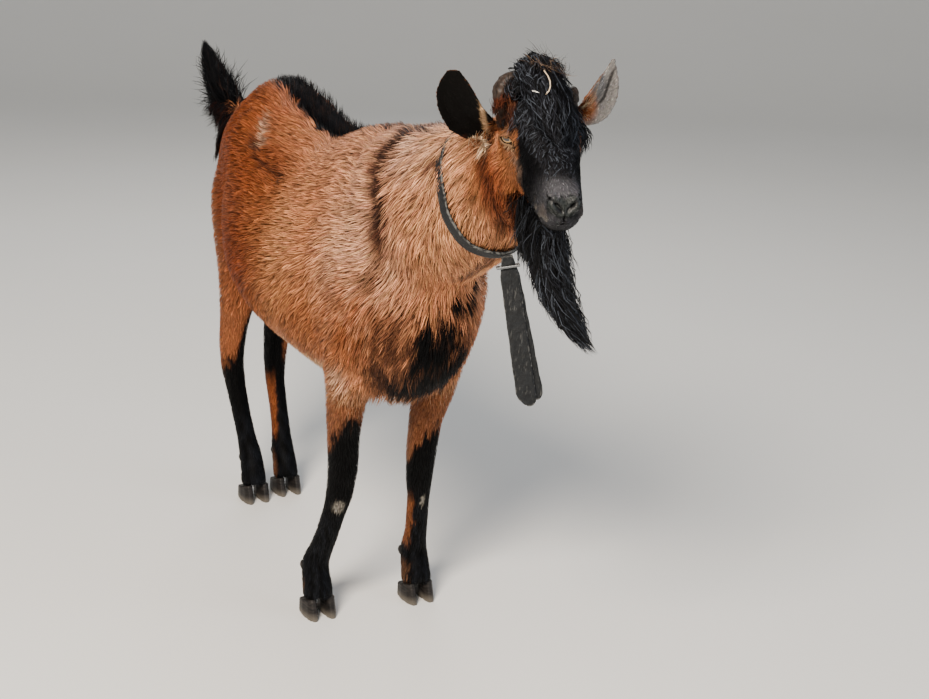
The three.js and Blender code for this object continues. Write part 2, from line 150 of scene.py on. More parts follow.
def remap(tree, value, low, high, to_low, to_high):
    """A value carried from one range to another, and held at its ends."""
    ends = {"From Min": low, "From Max": high, "To Min": to_low, "To Max": to_high}
    return add(tree, "MapRange", ends, {"Value": value}).outputs["Result"]


def new_material(name):
    """An empty node material and its tree."""
    material = bpy.data.materials.new(name)
    material.use_nodes = True
    material.node_tree.nodes.clear()
    return material, material.node_tree


def finished(material, values, links):
    """Ends a material's tree with its one shader and the output."""
    tree = material.node_tree
    shader = add(tree, "BsdfPrincipled", values, links)
    add(tree, "OutputMaterial", links={"Surface": shader.outputs["BSDF"]})
    return material


# %% [markdown]
# The floor is plain pale studio paper, swept up far behind the goat, so that no line crosses the
# picture. Soft light comes from a big window-like panel high on the camera's left, a weaker one
# on the right fills the shadows, and one behind picks out the hair along the back.

# %% Floor and lights
def studio_paper():
    material, tree = new_material("matt_studio_paper")
    grain = add(tree, "TexNoise", {"Scale": 40.0, "Detail": 2.0})
    tone = add(tree, "MixRGB", {"Color1": rgba("#E9E8E4"), "Color2": rgba("#ECEBE8")}, {"Fac": grain.outputs["Fac"]})
    return finished(material, {"Roughness": 0.9, "Specular IOR Level": 0.2},
                    {"Base Color": tone.outputs["Color"]})


def studio_floor(half=9.0, behind=5.0, rise=4.0, steps=24):
    """A sheet that lies level and sweeps up behind in a quarter circle."""
    across = np.array([-half, half])
    line = [(-half, 0.0)]
    line += [(behind + rise * math.sin(a), rise * (1 - math.cos(a))) for a in np.linspace(0, math.pi / 2, steps)]
    line += [(behind + rise, rise + 4.0)]
    points = [(x, y, z) for y, z in line for x in across]
    faces = [(2 * i, 2 * i + 1, 2 * i + 3, 2 * i + 2) for i in range(len(line) - 1)]
    mesh = bpy.data.meshes.new("studio_floor")
    mesh.from_pydata(points, [], faces)
    mesh.polygons.foreach_set("use_smooth", [True] * len(faces))
    floor = bpy.data.objects.new("studio_floor", mesh)
    floor.rotation_euler.z = -math.atan2(looking.x, looking.y)
    bpy.context.scene.collection.objects.link(floor)
    mesh.materials.append(studio_paper())
    return floor


studio_floor()
aim = Vector((0, 0, 0.5))
for name, place, size, watts, tint in (
    ("window_light", (-2.4, -2.4, 3.0), 1.5, 370, "#FFF3E4"),
    ("fill_light", (2.6, -2.4, 1.6), 2.6, 40, "#EAF1FF"),
    ("back_light", (0.8, 2.6, 2.7), 1.6, 30, "#FFFFFF"),
):
    lamp = bpy.data.lights.new(name, "AREA")
    lamp.shape, lamp.size, lamp.energy = "DISK", size, watts
    lamp.color = linear(tint)
    light = bpy.data.objects.new(name, lamp)
    light.location = place
    light.rotation_euler = (aim - Vector(place)).to_track_quat("-Z", "Y").to_euler()
    bpy.context.scene.collection.objects.link(light)
world = bpy.data.worlds.new("soft_sky")
world.use_nodes = True
world.node_tree.nodes["Background"].inputs["Color"].default_value = rgba("#E6ECF2")
world.node_tree.nodes["Background"].inputs["Strength"].default_value = 0.36
bpy.context.scene.world = world

# %% [markdown]
# The flesh of the goat is one skin. The solids are parted by thin cuts and made of flat facets,
# so the skin starts as swollen copies of them, joined by Blender's voxel remesh. It could be
# sculpted by hand, but it has to follow the solids, so code does what a sculptor's smooth brush
# does: each point moves towards the mean of its neighbours, and is then set back to the depth of
# the coat under the solids.

# %% Read solids and remesh them
def solid_arrays(names, swell=0.0):
    """Points in drawing millimetres and triangles of some CAD nodes, welded and swollen."""
    points, triangles, count = [], [], 0
    for name in names:
        work = bmesh.new()
        work.from_mesh(nodes[name].data)
        bmesh.ops.remove_doubles(work, verts=work.verts, dist=1e-6)
        bmesh.ops.triangulate(work, faces=work.faces)
        work.normal_update()
        work.verts.index_update()
        at = np.array([v.co for v in work.verts]) / MM - DRAWN_ZERO
        points.append(at + swell * np.array([v.normal for v in work.verts]))
        triangles.append(np.array([[v.index for v in f.verts] for f in work.faces]) + count)
        count += len(at)
        work.free()
    return np.concatenate(points), np.concatenate(triangles)


def new_mesh(name, points, faces, smooth=True):
    """A mesh from arrays: drawing millimetres, and faces that all have the same number of sides."""
    mesh = bpy.data.meshes.new(name)
    sides = faces.shape[1]
    mesh.vertices.add(len(points))
    mesh.vertices.foreach_set("co", metres(points).astype(np.float32).ravel())
    mesh.loops.add(faces.size)
    mesh.loops.foreach_set("vertex_index", faces.astype(np.int32).ravel())
    mesh.polygons.add(len(faces))
    mesh.polygons.foreach_set("loop_start", np.arange(len(faces), dtype=np.int32) * sides)
    mesh.polygons.foreach_set("use_smooth", np.full(len(faces), smooth))
    mesh.update(calc_edges=True)
    return mesh


def new_object(name, mesh):
    obj = bpy.data.objects.new(name, mesh)
    bpy.context.scene.collection.objects.link(obj)
    return obj


def modified(mesh, kind, **settings):
    """A mesh as one modifier leaves it."""
    work = new_object("work", mesh)
    modifier = work.modifiers.new("work", kind)
    for key, value in settings.items():
        setattr(modifier, key, value)
    graph = bpy.context.evaluated_depsgraph_get()
    result = bpy.data.meshes.new_from_object(work.evaluated_get(graph))
    bpy.data.objects.remove(work)
    return result


def mesh_arrays(mesh, sides):
    """Drawing millimetres and faces of a mesh whose faces all have so many sides."""
    points = np.empty(len(mesh.vertices) * 3)
    mesh.vertices.foreach_get("co", points)
    faces = np.empty(len(mesh.loops), np.int32)
    mesh.loops.foreach_get("vertex_index", faces)
    return points.reshape(-1, 3) / MM - DRAWN_ZERO, faces.reshape(-1, sides)


def remeshed(names, voxel, swell=0.5, lumps=()):
    """One closed shell of quads over some CAD nodes, and over lumps (centre, radii) in the head's frame."""
    at, faces = solid_arrays(names, swell)
    for centre, radii in lumps:
        work = bmesh.new()
        bmesh.ops.create_icosphere(work, subdivisions=3, radius=1)
        faces = np.concatenate([faces, np.array([[v.index for v in f.verts] for f in work.faces]) + len(at)])
        at = np.concatenate([at, from_head(np.array([v.co for v in work.verts]) * radii + centre)])
        work.free()
    shell = modified(new_mesh("work", at, faces), "REMESH", mode="VOXEL", voxel_size=voxel * MM)
    return Shell(*mesh_arrays(shell, 4))


def smoothed(names, voxel, swell, rounds, depth, lumps=()):
    """A remeshed shell with its facets smoothed away."""
    shell = remeshed(names, voxel, swell, lumps)
    shell.settle(np.full((len(shell.points), 1), 0.5), rounds, depth)
    return shell


def space_cells(at, size):
    """One whole number for each point: the same for points in the same cell of space."""
    cell = np.floor(at / size).astype(np.int64) + CELLS // 2
    return (cell[:, 0] * CELLS + cell[:, 1]) * CELLS + cell[:, 2]


def unit(vectors):
    return vectors / np.maximum(np.linalg.norm(vectors, axis=-1, keepdims=True), 1e-12)


def step(low, high, value):
    """0 below low, 1 above high, and smooth between; low may be the larger."""
    t = np.clip((value - low) / (high - low), 0, 1)
    return t * t * (3 - 2 * t)


class Shell:
    """A closed mesh of quads with its neighbours, for smoothing."""

    def __init__(self, points, quads):
        self.points, self.quads = points, quads
        pairs = np.stack([quads.ravel(), np.roll(quads, -1, axis=1).ravel()], axis=1)
        pairs = np.unique(np.sort(pairs, axis=1), axis=0)
        both = np.concatenate([pairs, pairs[:, ::-1]])
        both = both[np.argsort(both[:, 0], kind="stable")]
        counts = np.bincount(both[:, 0], minlength=len(points))
        self.near, self.count = both[:, 1], counts[:, None]
        self.start = np.concatenate([[0], np.cumsum(counts)[:-1]])

    def spread(self, values, weight, rounds):
        """Each value moves by weight towards its neighbours' mean, in rounds."""
        for _ in range(rounds):
            values = values + weight * (np.add.reduceat(values[self.near], self.start) / self.count - values)
        return values

    def normals(self):
        a, b, c, d = (self.points[self.quads[:, i]] for i in range(4))
        face = np.cross(c - a, d - b)
        total = np.zeros_like(self.points)
        for axis in range(3):
            for corner in range(4):
                total[:, axis] += np.bincount(self.quads[:, corner], face[:, axis], len(self.points))
        return unit(total)

    def settle(self, weight, rounds, depth):
        """Smooths away facets, then sets the surface evenly at depth under where it was."""
        before = self.points
        self.points = self.spread(before, weight, rounds)
        out = self.normals()
        gap = ((before - self.points) * out).sum(axis=1, keepdims=True)
        self.points = self.points + out * (self.spread(gap, weight, rounds) - depth)


# %% [markdown]
# How deep the coat is changes over the goat: thick on the neck, chest and spine, thin on the
# legs, and next to nothing on the muzzle and ears. The same rule sets the skin's depth and later
# the height of the hair above it, so the hair ends where the solids do.

# %% Coat depth by place
def ripple(points, size, seed):
    """Smooth noise from -1 to 1 whose patches are about size millimetres across."""
    draw = np.random.default_rng(seed)
    ways = unit(draw.normal(size=(7, 3))) * draw.uniform(0.6, 1.5, (7, 1)) * (2 * math.pi / size)
    turns = draw.uniform(0, 2 * math.pi, 7)
    return np.sin(np.asarray(points) @ ways.T + turns).sum(axis=1) / 3.2


def spine_x(y):
    """The spine's sideways place along the back."""
    return np.interp(y, [-200, 200, 430, 600, 740], [-2, 2, 8, 14, 12])


def spine_share(points):
    """1 on the ridge of the back between withers and rump, 0 away from it."""
    x, y, z = np.asarray(points).T
    back = np.interp(y, [-300, -200, -40, 40, 130, 225, 330, 430, 520, 600, 700],
                     [830, 832, 828, 812, 784, 760, 768, 800, 822, 780, 720])
    off = np.hypot((x - spine_x(y)) / 26, (z - back) / 34)
    return np.exp(-off ** 2) * step(-330, -200, y) * step(680, 560, y)


def is_ear(head_points):
    """1 on the ears, from the points' places in the head's frame."""
    x, y, z = head_points.T
    right = step(-50, -62, x) * step(-34, -22, z) * step(-12, 2, y) * step(64, 52, y)
    left = step(46, 60, x) * step(-40, -28, z) * step(-12, 2, y) * step(130, 118, y)
    return np.maximum(right, left) * step(150, 140, np.abs(x))


def coat_depth(points):
    """How deep the skin lies under the tips of the coat, in millimetres."""
    points = np.asarray(points)
    x, y, z = points.T
    hx, hy, hz = to_head(points).T
    depth = np.full(len(points), 7.5)
    depth += 3.0 * step(-20, -120, y)  # neck and shoulders
    depth += 3.5 * step(-70, -130, y) * step(640, 560, z)  # brisket
    depth += 10.0 * spine_share(points)
    depth -= 1.5 * step(420, 560, y)  # rump and thighs
    leg = step(450, 330, z) * (1 - step(-60, -120, y) * step(300, 330, z))
    depth = depth * (1 - leg) + (3.4 - 1.4 * step(300, 200, z)) * leg
    depth = np.where(y > 700, 12 * step(690, 780, y) + depth * step(780, 690, y), depth)
    # The head, from the throat's shag to the bare-looking lips.
    front = step(75, 20, hy) * step(-340, -390, y) * step(-150, -120, hz)
    face = 3.2 - 1.2 * step(10, -60, hy) - 1.0 * step(-100, -130, hy)
    depth = depth * (1 - front) + face * front
    ear = is_ear(np.stack([hx, hy, hz], axis=1))
    return depth * (1 - ear) + 0.7 * ear


print("coat depth on the flank, brisket, cannon and muzzle:",
      coat_depth([[-150, 250, 600], [0, -140, 520], [-86, 108, 150], from_head([0, -150, -4])]).round(1))

# %% Remesh and smooth the body
LEGS = [f"{pair}leg_{side}" for pair in ("fore", "hind") for side in ("right", "left")]
body_nodes = ["trunk", "neck", "tail"] + [f"{leg}_{part}" for leg in LEGS for part in ("upper", "lower")]
head_nodes = ["neck", "head", "lower_jaw", "ear_right", "ear_left"]

BODY_VOXEL, HEAD_VOXEL = 4.7, 1.65
body = remeshed(body_nodes, BODY_VOXEL)
_, by, bz = body.points.T
softness = 0.5 * (1 - 0.9 * step(430, 350, bz)) * (1 - 0.6 * step(690, 730, by))
body.settle(softness[:, None], 130, coat_depth(body.points)[:, None])
print("body shell:", len(body.points), "points")

# %% Remesh and smooth the head
head = remeshed(head_nodes + ["eye_right", "eye_left"], HEAD_VOXEL)
on_head = to_head(head.points)
ear_share = is_ear(on_head)
softness = (0.5 * (1 - 0.85 * ear_share) * (1 - 0.4 * step(-95, -125, on_head[:, 1])))[:, None]
head.settle(softness, 70, coat_depth(head.points)[:, None])
print("head shell:", len(head.points), "points")

# %% [markdown]
# The two shells become one skin. They are cut square across the neck where the collar hides it,
# a few millimetres apart, and bridged, so that the fine mesh of the head and the coarser mesh of
# the body are one closed surface with no seam. The eyes and the muzzle then get finer faces.

# %% One skin from two shells
COLLAR_AT, COLLAR_WAY = np.array([-2.0, -262.0, 767.0]), unit(np.array([0, -0.86, 0.5]))
BRIDGE = 5.0  # millimetres between the two cuts
NOSE_TIP = (0, -150, -18)
FINE_EYES, FINE_NOSE = 0.024, 0.030  # metres round the eyes and the nose where faces are halved
EYE_RADIUS = 14.0
EYES = {"right": np.array([-38.5, EYE_BACK, 0.0]), "left": np.array([38.5, EYE_BACK, 0.0])}


def cut_shell(shell, keep):
    """The part of a shell on one side of the collar's plane: keep is 1 for the head's side."""
    work = bmesh.new()
    mesh = new_mesh("cut", shell.points, shell.quads)
    work.from_mesh(mesh)
    at = Vector(metres(COLLAR_AT + COLLAR_WAY * keep * BRIDGE / 2))
    bmesh.ops.bisect_plane(
        work, geom=work.verts[:] + work.edges[:] + work.faces[:], plane_co=at,
        plane_no=Vector(COLLAR_WAY * keep), clear_inner=True)
    work.to_mesh(mesh)
    work.free()
    return mesh


def joined_skin():
    work = bmesh.new()
    for mesh in (cut_shell(head, 1), cut_shell(body, -1)):
        work.from_mesh(mesh)
    bmesh.ops.bridge_loops(work, edges=[edge for edge in work.edges if edge.is_boundary])
    centres = [Vector(metres(from_head(eye))) for eye in EYES.values()]
    nose = Vector(metres(from_head(NOSE_TIP)))

    def near(edge):
        spot = (edge.verts[0].co + edge.verts[1].co) / 2
        return min((spot - c).length for c in centres) < FINE_EYES or (spot - nose).length < FINE_NOSE

    bmesh.ops.subdivide_edges(work, edges=[e for e in work.edges if near(e)], cuts=1, use_grid_fill=True)
    bmesh.ops.triangulate(work, faces=[f for f in work.faces if len(f.verts) > 4])
    bmesh.ops.recalc_face_normals(work, faces=work.faces)
    mesh = bpy.data.meshes.new("goat_skin")
    work.to_mesh(mesh)
    work.free()
    mesh.polygons.foreach_set("use_smooth", np.ones(len(mesh.polygons), bool))
    return mesh


skin_mesh = joined_skin()
print("skin:", len(skin_mesh.vertices), "points,", len(skin_mesh.polygons), "faces")

# %% [markdown]
# Bones and muscles show through a coat. They are added as strokes, as a sculptor's brush would:
# each follows a short line of points and pushes the skin out or in along its own direction.

# %% Strokes of the sculpting brush
def vector_data(mesh, kind):
    data = np.empty(len(mesh.vertices) * 3)
    if kind == "points":
        mesh.vertices.foreach_get("co", data)
        return data.reshape(-1, 3) / MM - DRAWN_ZERO
    mesh.vertex_normals.foreach_get("vector", data)
    return data.reshape(-1, 3)


def off_line(points, line):
    """Distance of each point from a line of points."""
    line = np.asarray(line, float)
    best = np.full(len(points), np.inf)
    for a, b in zip(line[:-1], line[1:]):
        t = np.clip((points - a) @ (b - a) / ((b - a) @ (b - a)), 0, 1)
        best = np.minimum(best, np.linalg.norm(points - a - t[:, None] * (b - a), axis=1))
    return best


def folded(points):
    """Points with the left side laid over onto the right."""
    x, y, z = points.T
    return np.stack([-np.abs(x), y, z], axis=1)


def mirrored(line):
    return [(-x, y, z) for x, y, z in line]


def brushed(points, out, strokes):
    """Points pushed along out by strokes (line, radius, amount), each on both sides."""
    push = np.zeros(len(points))
    for line, radius, amount in strokes:
        line = list(line) + ([line[0]] if len(line) == 1 else [])
        line = [tuple(p) for p in line]
        if line[0] == line[-1]:
            line[-1] = (line[0][0], line[0][1], line[0][2] + 0.01)
        centred = all(x == 0 for x, _, _ in line)
        for side in [line] if centred else [line, mirrored(line)]:
            push += amount * np.exp(-(off_line(points, side) / radius) ** 2)
    return points + out * push[:, None]


BODY_STROKES = [
    ([(-70, 432, 752), (-95, 372, 722), (-104, 312, 704), (-108, 262, 690)], 17, -8.0),  # flank hollow
    ([(-52, 430, 780), (-84, 330, 742)], 17, 3.0),  # loin's edge above it
    ([(-66, 474, 752)], 24, 5.0),  # point of the hip
    ([(-118, 478, 660), (-126, 446, 570), (-112, 452, 500)], 15, -6.0),  # fold before the thigh
    ([(-98, 560, 640), (-104, 560, 560)], 32, 3.0),  # thigh
    ([(-76, -60, 790), (-98, -92, 700), (-98, -104, 600)], 20, -3.5),  # front of the shoulder blade
    ([(-70, -20, 790), (-102, -40, 690), (-104, -60, 600)], 18, 3.0),  # its ridge
    ([(-122, 78, 720), (-126, 84, 600), (-118, 66, 500)], 16, -5.0),  # behind the shoulder
    ([(-104, 34, 470), (-88, 66, 440)], 13, -5.0),  # elbow fold
    ([(-62, -300, 770), (-66, -220, 735), (-60, -160, 690)], 16, -3.0),  # neck groove
    ([(0, -158, 560), (0, -140, 480)], 14, -3.5),  # breast
    ([(-67, 38, 262)], 13, 2.0),  # knee
    ([(-46, 660, 330), (-44, 676, 290)], 7, -2.5),  # hollow before the hock's tendon
]


def brought_down(points, line):
    """A line of places moved to the nearest points of the skin."""
    return [tuple(points[np.argmin(np.linalg.norm(points - place, axis=1))]) for place in np.array(line, float)]


points = vector_data(skin_mesh, "points")
JAW_CREASE = brought_down(to_head(points), [(-68, 16, -34), (-68, 7, -47), (-67, -2, -64), (-58, -11, -88),
                                            (-45, -13, -114), (-31, -8, -136)])
NOSTRIL = np.array([(-4, -153, -13.5), (-8, -151, -10), (-13, -146, -6), (-18, -139, -4)])
LIP_GROOVE = np.array([(0, -158, -15), (0, -152, -29)])
MOUTH = [(0, -151, -31.5), (-9, -147, -31), (-16, -138, -33), (-23, -122, -38), (-26, -104, -44)]
HEAD_STROKES = [
    ([(-43, -18, 19), (-49, 2, 22), (-44, 22, 19)], 7, 2.4),  # brow
    ([(-42, -27, -6), (-38, -60, -10)], 9, -2.4),  # hollow before the eye
    ([(-46, -8, -24), (-39, -62, -30)], 7, 1.8),  # cheekbone's ridge
    ([(-50, 16, -52)], 20, 2.2),  # jaw muscle
    ([(-47, 46, -20), (-46, 40, -88)], 9, -3.0),  # behind the jaw
    (JAW_CREASE, 5, -4.0),
    ([(-52, -6, -40), (-44, -24, -62), (-34, -50, -60)], 9, 3.0),  # cheek in front of it
    ([(0, -40, 30), (0, -112, 14)], 14, 0.9),  # bridge of the nose
    ([(-20, -136, -25)], 10, 2.0),  # upper lip
    ([(0, -131, -52)], 12, 2.2),  # chin
    ([(-5, -154, -6), (-11, -151, -1), (-18, -141, 2)], 3.4, 2.2),  # upper rim of the nostril
    ([(-8, -153, -17), (-16, -146, -12)], 3.4, 1.8),  # lower rim of the nostril
    (NOSTRIL, 2.4, -7.0),
    (LIP_GROOVE, 1.5, -3.8),
    (MOUTH, 1.9, -4.4),
    ([(-10, -147, -25.5), (-21, -136, -28), (-28, -120, -33)], 3.4, 1.6),  # lip above it
]
points = brushed(points, vector_data(skin_mesh, "normals"), BODY_STROKES)
points = from_head(brushed(to_head(points), vector_data(skin_mesh, "normals") @ HEAD, HEAD_STROKES))
print("strokes:", len(BODY_STROKES), "on the body,", len(HEAD_STROKES), "on the head")

# %% [markdown]
# A goat's eye sits on the side of the head and looks outwards. The lids are folds of the same
# skin, so the skin round each eyeball is set by its distance from the ball's centre: inside the
# almond-shaped slit it sinks under the ball, at the rim it stands proud by the lid's thickness,
# and a shallow fold runs round above it.

# %% Lids
SLIT_HALF_LENGTH, SLIT_UP, SLIT_DOWN = math.radians(44), math.radians(11), math.radians(15)
LID = 1.5  # thickness at the rim, in millimetres
LID_REACH = 34.0  # millimetres from a ball's centre to where its lids have run out
SUNK = 2.5  # how far the skin inside the slit lies under the ball's surface


def eye_axes(side):
    """Ways across the slit, upwards and outwards for one eye, in the head frame."""
    sign = -1 if side == "right" else 1
    out = unit(np.array([sign * 0.70, -0.71, 0.07]))
    along = unit(np.array([sign * 0.71, 0.70, -0.10]))
    along = unit(along - out * (along @ out))
    return along, np.cross(out, along) * np.sign(np.cross(out, along)[2]), out


def slit_distance(local, side):
    """Degrees outside the slit's edge (negative inside), and degrees above its middle."""
    along, up, out = eye_axes(side)
    a = np.arctan2(local @ along, local @ out)
    b = np.arctan2(local @ up, local @ out)
    taper = np.clip(1 - np.abs(a / SLIT_HALF_LENGTH) ** 2.2, 0, 1)
    edge = np.where(b > 0, SLIT_UP, SLIT_DOWN) * taper
    beyond = np.maximum(np.abs(a) - SLIT_HALF_LENGTH, 0)
    outside = np.hypot(np.maximum(np.abs(b) - edge, 0), beyond) - np.maximum(edge - np.abs(b), 0)
    return np.degrees(outside), np.degrees(b)


on_head = to_head(points)
for side, centre in EYES.items():
    local = on_head - centre
    reach = np.linalg.norm(local, axis=1)
    close = reach < LID_REACH
    facing = local @ eye_axes(side)[2] > 0.15 * reach
    pick = close & facing
    outside, above = slit_distance(local[pick], side)
    r = reach[pick]
    lid = EYE_RADIUS + LID + 1.1 * step(2, 12, outside)
    fold = 1.0 * np.exp(-((outside - 17) / 4.5) ** 2) * np.where(above > 0, 1, 0.5)
    lid = lid - fold
    fade = step(62, 24, outside) * step(0.15, 0.45, (local[pick] @ eye_axes(side)[2]) / r)
    wanted = np.where(outside < 4, lid, np.maximum(r, lid)) * fade + r * (1 - fade)
    open_share = step(0.5, -2.5, outside)
    wanted = wanted * (1 - open_share) + (EYE_RADIUS - SUNK) * open_share
    on_head[pick] = centre + local[pick] * (wanted / r)[:, None]
points = from_head(on_head)
skin_mesh.vertices.foreach_set("co", metres(points).astype(np.float32).ravel())
skin_mesh.update()
print("lids round", list(EYES))

# %% [markdown]
# The markings are painted once, by a rule that takes a place on the goat and gives its colour, so
# the skin and the coat over it agree. A painter would lay the ground colour first and then each
# patch over it; the rule does the same, with patches given as lines and ovals on the body. Their
# edges are made ragged by smooth noise, as the edge of a patch of hair is.

# %% Painting tools
skin_mesh.calc_loop_triangles()
corner = np.empty(len(skin_mesh.loop_triangles) * 3, np.int32)
skin_mesh.loop_triangles.foreach_get("vertices", corner)
corner = corner.reshape(-1, 3)
skin_tree = BVHTree.FromPolygons([Vector(p) for p in points], corner.tolist())


def on_skin(places):
    """The nearest points of the skin and their outward ways."""
    feet, ways = np.empty_like(places), np.empty_like(places)
    for i, place in enumerate(places):
        feet[i], ways[i] = skin_tree.find_nearest(place)[:2]
    return feet, ways


def laid(line, apart=9.0):
    """A line of points brought down onto the skin, with more points between them."""
    line = np.asarray(line, float)
    run = np.concatenate([[0], np.cumsum(np.linalg.norm(np.diff(line, axis=0), axis=1))])
    at = np.linspace(0, run[-1], max(int(run[-1] / apart), 2))
    return on_skin(np.stack([np.interp(at, run, line[:, i]) for i in range(3)], axis=1))[0]


def in_oval(points, centre, radii, soft=0.35):
    """1 inside an oval, 0 outside, with a soft edge."""
    far = np.linalg.norm((points - np.asarray(centre, float)) / np.asarray(radii, float), axis=1)
    return step(1 + soft, 1 - soft, far)


def on_line(points, line, radius, soft=0.4):
    """1 near a line of points, 0 far from it."""
    return step(radius * (1 + soft), radius * (1 - soft), off_line(points, line))


def ragged(points, size, amount, seed):
    """Points shaken by smooth noise, for patches with uneven edges."""
    coarse = np.stack([ripple(points, size, seed + i) for i in range(3)], axis=1)
    fine = np.stack([ripple(points, size / 3.7, seed + 5 + i) for i in range(3)], axis=1)
    return points + amount * (coarse + 0.45 * fine)


class Paint:
    """A colour for each point, laid on in coats."""

    def __init__(self, count, ground):
        self.colour = np.tile(linear(ground), (count, 1))

    def lay(self, hex_colour, share):
        share = np.clip(share, 0, 1)[:, None]
        self.colour = self.colour * (1 - share) + linear(hex_colour) * share


# %% Colours of the coat
CHAMOIS, RUST, PALE, CREAM = "#B37550", "#74330F", "#C2A08B", "#D9BC9A"
# On the next line, the last colour is a paler blue-black: a painted sheen for the lower legs
BROWN, BLACK, SOOT, PAINTED_SHEEN = "#4A2818", "#050506", "#030304", "#17191E"

SHOULDER_STRIPE = laid([(-34, -94, 830), (-58, -96, 810), (-68, -80, 796), (-81, -82, 774), (-89, -93, 749),
                        (-92, -105, 719), (-90, -107, 681)])
STRIPE_FOOT = laid([(-90, -107, 681), (-84, -95, 643), (-88, -88, 610)])
NAPE_SMUDGE = laid([(-66, -208, 808), (-61, -243, 821)])
HIP_CREASE = laid([(-86, 408, 734), (-97, 362, 716), (-101, 318, 706), (-103, 270, 699), (-104, 232, 694)])
HIP_PATCH = laid([(-62, 418, 757), (-74, 398, 742), (-86, 378, 726)])
BREAST_STREAK = laid([(10, -147, 550), (26, -147, 568), (44, -142, 583), (53, -139, 596), (64, -126, 616)])
CALLUS = {"right": (on_skin(np.array([[-78.0, 40, 205]]))[0][0], (9, 14, 12)),
          "left": (on_skin(np.array([[75.0, 50, 190]]))[0][0], (4, 10, 10))}


def crest_share(at, edge=0.0):
    """1 in the band of black hair along the back, which narrows to both ends."""
    x, y, z = at.T
    half = np.interp(y, [80, 190, 420, 560, 700], [5, 25, 25, 20, 12]) + edge
    return step(half + 4, half - 4, np.abs(x - spine_x(y) - 11)) * (z > 640) * step(70, 110, y)


